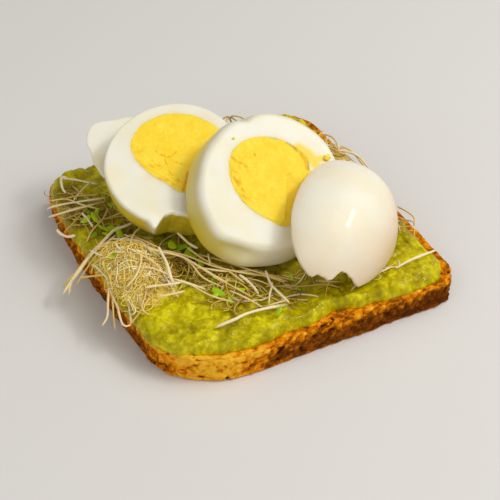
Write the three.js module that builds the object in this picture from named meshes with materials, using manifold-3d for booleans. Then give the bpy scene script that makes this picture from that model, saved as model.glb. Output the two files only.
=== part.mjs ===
// Egg toast: a toasted slice of bread, a layer of mashed avocado, a tangle of thin sprouts, and a
// boiled egg cut into four pieces that lean on one another like roof tiles.
// Millimetres, +Z up. The origin is the middle of the bread's flat underside. +X runs along the
// front edge of the slice to the right, and +Y runs away from the front edge.

import * as THREE from 'three';
import { mergeVertices } from 'three/addons/utils/BufferGeometryUtils.js';
import { ConvexGeometry } from 'three/addons/geometries/ConvexGeometry.js';
import Module from 'manifold-3d';

// ---------------------------------------------------------------- driving dimensions

const GAP = 0.3; // free space between pieces that rest on each other

const BREAD = {
  width: 102,
  depth: 108.8,
  thickness: 10,
  leftBow: 3, // how far the curve of the left side is pulled out
  bowAt: 15, // where along Y it is pulled
  crustWidth: 4,
  crustRise: 0.4, // the crumb inside the crust is this much lower
  edgeRound: 1.4,
};

// Corner roundings of the slice, as [along X, along Y].
const CORNERS = {
  frontLeft: [29, 23],
  frontRight: [10, 10],
  backRight: [17, 17],
  backLeft: [11, 11],
};

const AVOCADO = {
  thickness: 3.2,
  lump: 1.0, // height of the lumps above and below the mean surface
  lumpPitch: 11, // distance from lump to lump
  edgeRound: 1.2,
  pressedTo: 13.2, // top of the mash under the egg
  pressedArea: { x: 2, y: -2, halfWide: 36, halfDeep: 46 },
};

// Bare bread left round the mash, at turns counted from the middle of the front edge, 0 to 1.
const BARE_RIM = [
  { at: 0.0, margin: 4.6 },
  { at: 0.016, margin: 6.0 },
  { at: 0.04, margin: 3.4 },
  { at: 0.08, margin: 1.6 },
  { at: 0.16, margin: 3.0 },
  { at: 0.24, margin: 4.4 },
  { at: 0.36, margin: 4.2 },
  { at: 0.5, margin: 3.6 },
  { at: 0.6, margin: 3.0 },
  { at: 0.68, margin: 0.8 },
  { at: 0.76, margin: 1.2 },
  { at: 0.84, margin: 1.0 },
  { at: 0.87, margin: 1.4 },
  { at: 0.905, margin: 3.6 },
  { at: 0.944, margin: 3.4 },
  { at: 0.984, margin: 4.0 },
];

// The sprout bed: how far it reaches from the middle of the toast, by direction in degrees from +X.
const BED_REACH = [
  { at: 0, reach: 41 },
  { at: 18, reach: 51 },
  { at: 38, reach: 50 },
  { at: 55, reach: 42 },
  { at: 85, reach: 43 },
  { at: 112, reach: 49 },
  { at: 135, reach: 57 },
  { at: 150, reach: 56 },
  { at: 165, reach: 51 },
  { at: 185, reach: 54 },
  { at: 205, reach: 58 },
  { at: 215, reach: 49 },
  { at: 232, reach: 36 },
  { at: 250, reach: 38 },
  { at: 272, reach: 43 },
  { at: 292, reach: 46 },
  { at: 315, reach: 43 },
  { at: 340, reach: 39 },
];

const BED = {
  rimTop: 14.2, // height of the bed's top at its rim
  rimDepth: 2, // height of the rim's steep side
  lump: 0.5,
  lumpPitch: 9,
};

// Mounds of the bed: middle, half-widths and height above the rim's top.
const MOUNDS = [
  { name: 'left heap', x: -42, y: -8, wide: 14, deep: 20, rise: 8 },
  { name: 'band along the egg', x: -16, y: -26, wide: 15, deep: 13, rise: 3.4 },
  { name: 'under the front slice', x: 4, y: -6, wide: 24, deep: 22, rise: 15 },
  { name: 'under the cap', x: 17, y: -31, wide: 20, deep: 16, rise: 13 },
  { name: 'under the back slice', x: -10, y: 28, wide: 26, deep: 20, rise: 11 },
  { name: 'left back patch', x: -44, y: 34, wide: 12, deep: 14, rise: 1.4 },
  { name: 'back corner tuft', x: 44, y: 18, wide: 9, deep: 18, rise: 2.6 },
];

// Wisps of sprout that stick out past the slice's left side: middle, half-sizes and turns in degrees.
const WISPS = [
  { name: 'long spray', at: [-54, 3.5, 10.2], half: [12.5, 3, 2.2], turn: 16, dip: 24 },
  { name: 'curl over the edge', at: [-51.5, -22, 12], half: [5.5, 9, 4.6], turn: -8, dip: 8 },
];

// Every egg has the same blunt form: the half-width shrinks by this share at the narrow end.
const EGG_TAPER = 0.08;

// Egg pieces, from the back of the row to the front. Each is the part of an egg between two parallel
// cuts. at is the middle of the upper cut; facing is the direction that the cut looks in, as
// [azimuth from +X, elevation]; turn spins the egg's long axis in the cut; offset is the distance from
// the egg's middle to the upper cut; thick is the distance between the cuts.
const EGG_PIECES = {
  end: {
    at: [-19.8, 29.9, 25.4],
    facing: [-71, 73],
    turn: 31,
    halfLength: 27,
    halfWidth: 21.3,
    offset: -12,
    thick: 7.7,
  },
  back: {
    at: [-15.8, 14.3, 32.2],
    facing: [-73, 72.4],
    turn: -60,
    halfLength: 26.7,
    halfWidth: 22.6,
    offset: -2.1,
    thick: 10.6,
    yolk: { along: 5.0, across: -0.6, below: 1.5, radius: 17.1, squash: 0.98 },
  },
  front: {
    at: [2.4, -12.4, 35.9],
    facing: [-90, 58.9],
    turn: 117.7,
    halfLength: 27.3,
    halfWidth: 24.1,
    offset: 11.8,
    thick: 9.4,
    yolk: { along: -2.1, across: 1.0, below: 4.6, radius: 16.6, squash: 0.82 },
  },
  cap: {
    at: [21.2, -38.4, 35.7],
    facing: [-63, 52],
    turn: 104,
    halfLength: 26.9,
    halfWidth: 20.3,
    offset: 20.3,
    thick: 12.1,
  },
};

// What is torn off an egg piece, seen square to its cut: an outline with each point as [along the long
// axis, across it], and the heights that the tear reaches below and above the upper cut.
const TEARS = {
  cap: {
    outline: [
      [34, -7],
      [22.7, -6.5],
      [23.5, -4],
      [23.6, -2.6],
      [23.2, -0.9],
      [22, -0.4],
      [21.7, 1.4],
      [21.6, 3.4],
      [20.6, 4.2],
      [19.4, 4.2],
      [17.9, 4.7],
      [16.9, 6.3],
      [16.6, 8.6],
      [15.3, 12.4],
      [13.8, 14.4],
      [11.5, 15.8],
      [13, 26],
      [34, 26],
    ],
    low: -20,
    high: 10,
  },
  back: {
    outline: [
      [-34, -2.5],
      [-25.5, -2.5],
      [-22.3, -3],
      [-20.3, -5],
      [-19.5, -8],
      [-18.8, -12],
      [-16.9, -17.5],
      [-30, -26],
    ],
    low: -20,
    high: 5,
  },
};

// Steps round and along the curved surfaces.
const STEPS = { outline: 72, bed: 56, eggRound: 32, eggLong: 16, yolkRound: 28, yolkLong: 16 };

const COLOURS = {
  bread: { color: 0xb8700f, roughness: 0.9 },
  avocado: { color: 0xb2a40f, roughness: 0.35 },
  sprouts: { color: 0xdbc170, roughness: 0.6 },
  white: { color: 0xf0ecd6, roughness: 0.35 },
  yolk: { color: 0xffdb2f, roughness: 0.75 },
};

// ---------------------------------------------------------------- joining and cutting

const wasm = await Module();
wasm.setup();

/** A closed geometry as a solid that can be joined and cut. */
function solidOf(geometry) {
  const bare = geometry.clone();
  bare.deleteAttribute('normal');
  bare.deleteAttribute('uv');
  const welded = mergeVertices(bare, 1e-4);
  return new wasm.Manifold(
    new wasm.Mesh({
      numProp: 3,
      vertProperties: new Float32Array(welded.attributes.position.array),
      triVerts: new Uint32Array(welded.index.array),
    }),
  );
}

/** The geometry of a solid. */
function geometryOf(solid) {
  const mesh = solid.getMesh();
  const points = new Float32Array(mesh.numVert * 3);
  for (let i = 0; i < mesh.numVert; i++) {
    const start = i * mesh.numProp;
    points.set(mesh.vertProperties.subarray(start, start + 3), i * 3);
  }
  const geometry = new THREE.BufferGeometry();
  geometry.setAttribute('position', new THREE.BufferAttribute(points, 3));
  geometry.setIndex(new THREE.BufferAttribute(new Uint32Array(mesh.triVerts), 1));
  geometry.computeVertexNormals();
  return geometry;
}

// ---------------------------------------------------------------- smooth helpers

/** A value read from a ring of { at, [key] } stations of the given period, eased between them. */
function aroundRing(stations, key, period, at) {
  const place = ((at % period) + period) % period;
  let next = stations.findIndex((s) => s.at > place);
  if (next < 0) next = stations.length;
  const low = stations[next - 1];
  const high = stations[next % stations.length];
  const span = (next === stations.length ? high.at + period : high.at) - low.at;
  const share = THREE.MathUtils.smoothstep(place, low.at, low.at + span);
  return THREE.MathUtils.lerp(low[key], high[key], share);
}

/** Rolling lumps between -1 and 1: two crossed waves and a finer one. */
function lumps(x, y, pitch) {
  const k = (2 * Math.PI) / pitch;
  const coarse = Math.sin(k * x + 1.3 * Math.sin(0.7 * k * y)) * Math.cos(0.9 * k * y + 0.8);
  const fine = Math.sin(1.9 * k * x - 1.1) * Math.sin(2.1 * k * y + 0.4 + 0.6 * k * x);
  return 0.7 * coarse + 0.3 * fine;
}

/**
 * A closed body pressed from a lathed blank. rows are the blank's rings from the middle of one side
 * to the middle of the other, and place(turn, row) says where a ring's point at that turn goes.
 */
function pressed(rows, segments, place) {
  const profile = rows.map((row, j) => new THREE.Vector2(j % (rows.length - 1) === 0 ? 0 : 1, j));
  const blank = new THREE.LatheGeometry(profile, segments);
  const position = blank.attributes.position;
  for (let i = 0; i < position.count; i++) {
    const turn = (Math.floor(i / rows.length) % segments) / segments;
    const [x, y, z] = place(turn, rows[i % rows.length]);
    position.setXYZ(i, x, y, z);
  }
  return blank;
}

// ---------------------------------------------------------------- bread

/** The slice's outline, anticlockwise from the front edge's middle, with the way inwards at each point. */
function breadOutline() {
  const right = BREAD.width / 2;
  const back = BREAD.depth / 2;
  const path = new THREE.Path();
  const corner = ([rx, ry], signX, signY, quarter) => {
    const start = (quarter * Math.PI) / 2;
    path.absellipse(signX * (right - rx), signY * (back - ry), rx, ry, start, start + Math.PI / 2);
  };
  path.moveTo(0, -back);
  path.lineTo(right - CORNERS.frontRight[0], -back);
  corner(CORNERS.frontRight, 1, -1, 3);
  path.lineTo(right, back - CORNERS.backRight[1]);
  corner(CORNERS.backRight, 1, 1, 0);
  path.lineTo(-right + CORNERS.backLeft[0], back);
  corner(CORNERS.backLeft, -1, 1, 1);
  path.quadraticCurveTo(-right - BREAD.leftBow, BREAD.bowAt, -right, -back + CORNERS.frontLeft[1]);
  corner(CORNERS.frontLeft, -1, -1, 2);
  path.lineTo(0, -back);
  const points = path.getSpacedPoints(STEPS.outline).slice(0, STEPS.outline);
  return points.map((point, i) => {
    const before = points[(i + STEPS.outline - 1) % STEPS.outline];
    const after = points[(i + 1) % STEPS.outline];
    const along = after.clone().sub(before).normalize();
    return { point, inward: new THREE.Vector2(-along.y, along.x) };
  });
}

const outline = breadOutline();

/** The outline's point at a turn, moved inwards by the inset. */
function insetPoint(turn, inset) {
  const { point, inward } = outline[Math.round(turn * STEPS.outline) % STEPS.outline];
  return point.clone().addScaledVector(inward, inset);
}

/** The slice: a flat underside, rounded edges and a crust that stands a little above the crumb. */
function breadGeometry() {
  const { thickness, edgeRound, crustWidth, crustRise } = BREAD;
  const halfway = edgeRound * (1 - Math.SQRT1_2);
  const crumbTop = thickness - crustRise;
  const rows = [
    { middle: true, z: 0 },
    { inset: edgeRound, z: 0 },
    { inset: halfway, z: halfway },
    { inset: 0, z: edgeRound },
    { inset: 0, z: thickness - edgeRound },
    { inset: halfway, z: thickness - halfway },
    { inset: edgeRound, z: thickness },
    { inset: crustWidth / 2, z: thickness },
    { inset: crustWidth, z: crumbTop },
    { middle: true, z: crumbTop },
  ];
  return pressed(rows, STEPS.outline, (turn, row) => {
    if (row.middle) return [0, 0, row.z];
    const at = insetPoint(turn, row.inset);
    return [at.x, at.y, row.z];
  });
}

// ---------------------------------------------------------------- mashed avocado

/** Height of the mash's top: lumpy in the open, pressed flat under the egg. */
function mashTop(x, y) {
  const { thickness, lump, lumpPitch, pressedTo, pressedArea: area } = AVOCADO;
  const open = BREAD.thickness + GAP + thickness + lump * lumps(x, y, lumpPitch);
  const fromEgg = Math.hypot((x - area.x) / area.halfWide, (y - area.y) / area.halfDeep);
  const share = THREE.MathUtils.smoothstep(fromEgg, 0.75, 1);
  return THREE.MathUtils.lerp(Math.min(open, pressedTo), open, share);
}

/**
 * The mash, swollen by extra on its top and rim. Its rows go up the rim and then in over the top:
 * share is the part of the way from the middle, and height the part of the way up to the top.
 */
function mashGeometry(extra = 0) {
  const bottom = BREAD.thickness + GAP - extra;
  const { edgeRound } = AVOCADO;
  const rows = [
    { share: 0, height: 0 },
    { share: 1, inset: edgeRound, height: 0 },
    { share: 1, height: 0.5 },
    { share: 1, inset: edgeRound, height: 0.9 },
    ...[0.93, 0.83, 0.7, 0.55, 0.38, 0.2, 0].map((share) => ({ share, height: 1 })),
  ];
  return pressed(rows, STEPS.outline, (turn, row) => {
    const margin = aroundRing(BARE_RIM, 'margin', 1, turn);
    const at = insetPoint(turn, margin + (row.inset ?? 0) - extra).multiplyScalar(row.share);
    const top = mashTop(at.x, at.y) + extra;
    return [at.x, at.y, THREE.MathUtils.lerp(bottom, top, row.height)];
  });
}

// ---------------------------------------------------------------- egg

const BLOCK = 80; // wider than any egg

/** A whole egg round the X axis, its middle at the origin and its narrow end towards +X. */
function wholeEgg(halfLength, halfWidth) {
  const profile = [];
  for (let i = 0; i <= STEPS.eggLong; i++) {
    const s = -Math.cos((i * Math.PI) / STEPS.eggLong);
    const radius = halfWidth * Math.sqrt(Math.max(0, 1 - s * s)) * (1 - EGG_TAPER * s);
    profile.push(new THREE.Vector2(radius, s * halfLength));
  }
  return new THREE.LatheGeometry(profile, STEPS.eggRound).rotateZ(-Math.PI / 2);
}

/** The slice of an egg between its two cuts, the upper one at height 0, swollen by extra. */
function eggSlice(piece, extra = 0) {
  const egg = wholeEgg(piece.halfLength + extra, piece.halfWidth + extra);
  const cuts = new THREE.BoxGeometry(BLOCK, BLOCK, piece.thick + 2 * extra);
  egg.translate(0, 0, -piece.offset);
  cuts.translate(0, 0, -piece.thick / 2);
  return solidOf(egg).intersect(solidOf(cuts));
}

/** The yolk's ball, swollen by extra, in the frame of its slice. */
function yolkBall({ along, across, below, radius, squash }, extra = 0) {
  const ball = new THREE.SphereGeometry(radius + extra, STEPS.yolkRound, STEPS.yolkLong);
  return solidOf(ball.scale(squash, 1, 1).translate(along, across, -below));
}

/** A cutter for a tear, in the frame of its slice. */
function tearCutter({ outline: points, low, high }) {
  const shape = new THREE.Shape(points.map(([x, y]) => new THREE.Vector2(x, y)));
  const bar = new THREE.ExtrudeGeometry(shape, { depth: high - low, bevelEnabled: false });
  return solidOf(bar.translate(0, 0, low));
}

/** The turn and place of an egg piece: local X is the egg's long axis and local Z faces out of the cut. */
function placeOf({ at, facing, turn }) {
  const [azimuth, elevation, spin] = [...facing, turn].map(THREE.MathUtils.degToRad);
  const level = new THREE.Vector3(Math.cos(azimuth), Math.sin(azimuth), 0);
  const normal = level.multiplyScalar(Math.cos(elevation)).setZ(Math.sin(elevation));
  const uphill = new THREE.Vector3(0, 0, 1).addScaledVector(normal, -normal.z).normalize();
  const long = uphill.applyAxisAngle(normal, spin);
  const across = new THREE.Vector3().crossVectors(normal, long);
  return new THREE.Matrix4().makeBasis(long, across, normal).setPosition(...at);
}

// ---------------------------------------------------------------- sprouts

/** Height of the sprout bed's top. */
function bedTop(x, y) {
  let rise = 0;
  for (const mound of MOUNDS) {
    const away = Math.hypot((x - mound.x) / mound.wide, (y - mound.y) / mound.deep);
    rise = Math.max(rise, mound.rise * (1 - THREE.MathUtils.smoothstep(away, 0, 1.25)));
  }
  return BED.rimTop + rise + BED.lump * lumps(x, y, BED.lumpPitch);
}

/** The bed before anything is cut from it: a low disc of uneven reach with mounds on it. */
function bedGeometry() {
  const low = BREAD.thickness + GAP;
  const rows = [
    { share: 0, z: low },
    { share: 0.97, z: low },
    { share: 1, z: low + BED.rimDepth },
    ...[0.985, 0.92, 0.83, 0.73, 0.62, 0.5, 0.37, 0.24, 0.12, 0].map((share) => ({ share })),
  ];
  return pressed(rows, STEPS.bed, (turn, row) => {
    const angle = turn * 2 * Math.PI;
    const reach = aroundRing(BED_REACH, 'reach', 360, turn * 360) * row.share;
    const x = reach * Math.cos(angle);
    const y = reach * Math.sin(angle);
    return [x, y, row.z ?? bedTop(x, y)];
  });
}

/** A wisp that sticks out of the bed. */
function wispSolid({ at, half, turn, dip }) {
  const ball = new THREE.SphereGeometry(1, 14, 10).scale(...half);
  ball.rotateY(THREE.MathUtils.degToRad(-dip));
  ball.rotateZ(THREE.MathUtils.degToRad(turn));
  return solidOf(ball.translate(...at));
}

/** Everything from an egg piece's underside upwards, with the gap, so that no sprout is above it. */
function spaceOver(piece) {
  const grown = geometryOf(eggSlice(piece, GAP)).applyMatrix4(placeOf(piece));
  const position = grown.attributes.position;
  const points = [];
  for (let i = 0; i < position.count; i++) {
    const point = new THREE.Vector3().fromBufferAttribute(position, i);
    points.push(point, point.clone().setZ(point.z + BLOCK / 2));
  }
  return solidOf(new ConvexGeometry(points));
}

/** The slice of bread with the gap round it, for cutting what hangs over its edge. */
function breadSpace() {
  const rows = [
    { share: 0, z: 0 },
    { share: 1, z: 0 },
    { share: 1, z: BREAD.thickness + GAP },
    { share: 0, z: BREAD.thickness + GAP },
  ];
  return pressed(rows, STEPS.outline, (turn, row) => {
    const at = insetPoint(turn, -GAP).multiplyScalar(row.share);
    return [at.x, at.y, row.z];
  });
}

/** The whole tangle: the bed and its wisps, cut clear of the bread, the mash and the egg. */
function sproutSolid() {
  let bed = solidOf(bedGeometry());
  for (const wisp of WISPS) {
    bed = bed.add(wispSolid(wisp));
  }
  bed = bed.subtract(solidOf(breadSpace())).subtract(solidOf(mashGeometry(GAP)));
  for (const piece of Object.values(EGG_PIECES)) {
    bed = bed.subtract(spaceOver(piece));
  }
  return bed;
}

// ---------------------------------------------------------------- assembly

const toast = new THREE.Group();

/** Adds one named piece to the toast. */
function addPiece(name, geometry, look, matrix = new THREE.Matrix4()) {
  const mesh = new THREE.Mesh(geometry, new THREE.MeshStandardMaterial({ ...look, metalness: 0 }));
  mesh.name = name;
  mesh.applyMatrix4(matrix);
  toast.add(mesh);
}

addPiece('bread_slice', breadGeometry(), COLOURS.bread);
addPiece('avocado_mash', mashGeometry(), COLOURS.avocado);
addPiece('sprout_bed', geometryOf(sproutSolid()), COLOURS.sprouts);

for (const [name, piece] of Object.entries(EGG_PIECES)) {
  const slice = eggSlice(piece);
  const whole = TEARS[name] ? slice.subtract(tearCutter(TEARS[name])) : slice;
  const place = placeOf(piece);
  const white = piece.yolk ? whole.subtract(yolkBall(piece.yolk, GAP)) : whole;
  addPiece(`egg_${name}_white`, geometryOf(white), COLOURS.white, place);
  if (piece.yolk) {
    const yolk = whole.intersect(yolkBall(piece.yolk));
    addPiece(`egg_${name}_yolk`, geometryOf(yolk), COLOURS.yolk, place);
  }
}

export default toast;
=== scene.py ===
"""Looks of the egg toast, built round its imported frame.

Every piece is worked out in millimetres as arrays of points and turned into metres when it becomes
a mesh. The origin is the middle of the bread's flat underside, +X runs along the front edge to the
right, +Y away from the front edge and +Z up.
"""

import logging
import math
from dataclasses import dataclass, field
from enum import Enum

import bpy
import numpy as np
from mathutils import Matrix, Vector
from mathutils.bvhtree import BVHTree


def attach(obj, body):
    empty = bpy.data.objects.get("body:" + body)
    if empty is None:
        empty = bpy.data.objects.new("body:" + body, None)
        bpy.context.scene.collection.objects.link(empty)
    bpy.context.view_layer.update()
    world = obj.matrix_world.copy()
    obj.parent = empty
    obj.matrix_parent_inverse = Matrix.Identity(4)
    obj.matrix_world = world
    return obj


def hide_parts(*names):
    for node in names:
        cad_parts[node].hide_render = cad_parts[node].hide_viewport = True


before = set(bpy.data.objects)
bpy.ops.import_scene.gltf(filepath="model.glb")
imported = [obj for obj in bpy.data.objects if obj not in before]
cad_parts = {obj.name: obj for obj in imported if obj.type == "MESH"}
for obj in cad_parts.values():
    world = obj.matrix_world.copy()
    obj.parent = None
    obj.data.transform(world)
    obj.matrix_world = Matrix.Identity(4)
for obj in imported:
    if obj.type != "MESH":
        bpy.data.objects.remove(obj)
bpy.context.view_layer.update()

MM = 0.001  # millimetres to metres
SEED = 5357
FULL_TURN = 2 * math.pi

Array = np.ndarray
Pair = tuple[float, float]
Triple = tuple[float, float, float]
Four = tuple[float, float, float, float]
Material = bpy.types.Material
Socket = bpy.types.NodeSocket

log = logging.getLogger("egg_toast")


# ---- numbers and noise


def eased(low: float, high: float, value: Array) -> Array:
    """A smooth step from 0 at low to 1 at high: 3 t^2 - 2 t^3, with t the share of the way."""
    t = np.clip((value - low) / (high - low), 0.0, 1.0)
    return t * t * (3 - 2 * t)


def around(stations: dict[float, float], period: float, at: Array) -> Array:
    """Values read from a ring of stations, eased between neighbours.

    Args:
        stations: value by place on the ring, in rising order of place.
        period: length of the ring.
        at: places to read.

    Returns:
        The values at those places.
    """
    places = np.array(list(stations))
    values = np.array(list(stations.values()))
    place = np.mod(at, period)
    after = np.searchsorted(places, place, side="right")
    low = (after - 1) % len(places)
    high = after % len(places)
    start = np.where(after == 0, places[low] - period, places[low])
    end = np.where(after == len(places), places[high] + period, places[high])
    return values[low] + (values[high] - values[low]) * eased(0.0, 1.0, (place - start) / (end - start))


def away_from_path(x: Array, y: Array, path: list[Pair]) -> Array:
    """Distance of points in a plane from a path of straight stretches.

    Args:
        x: first coordinates.
        y: second coordinates.
        path: corners of the path.

    Returns:
        The least distance to any stretch.
    """
    nearest = np.full(np.shape(x), 1e9)
    for (ax, ay), (bx, by) in zip(path, path[1:]):
        dx, dy = bx - ax, by - ay
        share = np.clip(((x - ax) * dx + (y - ay) * dy) / (dx * dx + dy * dy), 0, 1)
        nearest = np.minimum(nearest, np.hypot(x - ax - share * dx, y - ay - share * dy))
    return nearest


def stacked(*parts: Array) -> Array:
    """Arrays put side by side along a new last axis."""
    return np.stack(parts, axis=-1)


def with_height(flat: Array, height: Array | float) -> Array:
    """Points of a plane, last axis 2, lifted to heights."""
    return np.concatenate([flat, np.broadcast_to(height, flat.shape[:-1])[..., None]], axis=-1)


def degrees_from(angle: Array, middle: float) -> Array:
    """How far angles in radians are from a direction in degrees, from -180 to 180."""
    return (np.degrees(angle) - middle + 180) % 360 - 180


class Grain:
    """Repeatable noise for whole arrays of points: rolling lumps, and cells like grains."""

    TABLE = 256  # entries, a power of two
    GAIN = 1.7  # brings the lumps to nearly 1

    def __init__(self, seed: int) -> None:
        """Draws the tables that the noise is read from.

        Args:
            seed: start of the draws.
        """
        rng = np.random.default_rng(seed)
        self.order = rng.permutation(self.TABLE)
        slopes = rng.normal(size=(self.TABLE, 3))
        self.slopes = slopes / np.linalg.norm(slopes, axis=1, keepdims=True)
        self.seats = rng.random((self.TABLE, 3))

    def _draw(self, cell: Array) -> Array:
        """Reads the table three times, each time further on by the next coordinate.

        Args:
            cell: lattice cells, last axis 3.

        Returns:
            A table place for each cell.
        """
        last = self.TABLE - 1
        first = self.order[cell[..., 0] & last]
        second = self.order[(first + cell[..., 1]) & last]
        return self.order[(second + cell[..., 2]) & last]

    def lumps(self, points: Array, pitch: float) -> Array:
        """Rolling lumps: slopes at the corners of a lattice, blended by t^3 (6 t^2 - 15 t + 10).

        Args:
            points: points in millimetres, last axis 3.
            pitch: size of the lattice.

        Returns:
            Heights, nearly all between -1 and 1.
        """
        scaled = points / pitch
        base = np.floor(scaled).astype(np.int64)
        inside = scaled - base
        ease = inside**3 * (inside * (6 * inside - 15) + 10)
        total = np.zeros(points.shape[:-1])
        for corner in np.ndindex(2, 2, 2):
            step = np.array(corner)
            weight = np.prod(np.where(step == 1, ease, 1 - ease), axis=-1)
            slope = self.slopes[self._draw(base + step)]
            total += weight * np.sum(slope * (inside - step), axis=-1)
        return self.GAIN * total

    def rough(self, points: Array, pitch: float, octaves: int = 3, keep: float = 0.5) -> Array:
        """Lumps with finer lumps on them, each octave half the pitch and keep times the height."""
        heights = [keep**i * self.lumps(points + 17.3 * i, pitch / 2**i) for i in range(octaves)]
        return sum(heights) / sum(keep**i for i in range(octaves))

    def warp(self, points: Array, pitch: float, apart: float) -> Array:
        """A push in three directions: lumps read at places that far apart in the noise."""
        return np.stack([self.lumps(points + i * apart, pitch) for i in range(3)], axis=-1)

    def cells(self, points: Array, pitch: float) -> tuple[Array, Array, Array]:
        """Cells round scattered seats.

        Args:
            points: points in millimetres, last axis 3.
            pitch: usual size of a cell.

        Returns:
            Distance to the nearest seat and how much further the second is, both in pitches, and a
            number from 0 to 1 that is the same all over a cell.
        """
        scaled = points / pitch
        base = np.floor(scaled).astype(np.int64)
        first = np.full(points.shape[:-1], 9.0)
        second = np.full(points.shape[:-1], 9.0)
        tone = np.zeros(points.shape[:-1])
        for offset in np.ndindex(3, 3, 3):
            cell = base + np.array(offset) - 1
            draw = self._draw(cell)
            away = np.linalg.norm(cell + self.seats[draw] - scaled, axis=-1)
            nearer = away < first
            second = np.where(nearer, first, np.minimum(second, away))
            first = np.where(nearer, away, first)
            tone = np.where(nearer, draw / (self.TABLE - 1), tone)
        return first, second - first, tone


def normals_of(points: Array, loop: bool) -> Array:
    """Unit normals of a grid of points whose columns close into a ring.

    Args:
        points: rows by columns by 3.
        loop: whether the rows close too.

    Returns:
        The normals, along columns crossed with along rows.
    """
    across = np.roll(points, -1, axis=1) - np.roll(points, 1, axis=1)
    if loop:
        down = np.roll(points, -1, axis=0) - np.roll(points, 1, axis=0)
    else:
        down = np.gradient(points, axis=0)
    normal = np.cross(across, down)
    return normal / np.maximum(np.linalg.norm(normal, axis=-1, keepdims=True), 1e-9)


# ---- meshes


class Pole(Enum):
    """Which ends of a grid's rows shrink to one point."""

    NONE = (False, False)
    BOTH = (True, True)


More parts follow.
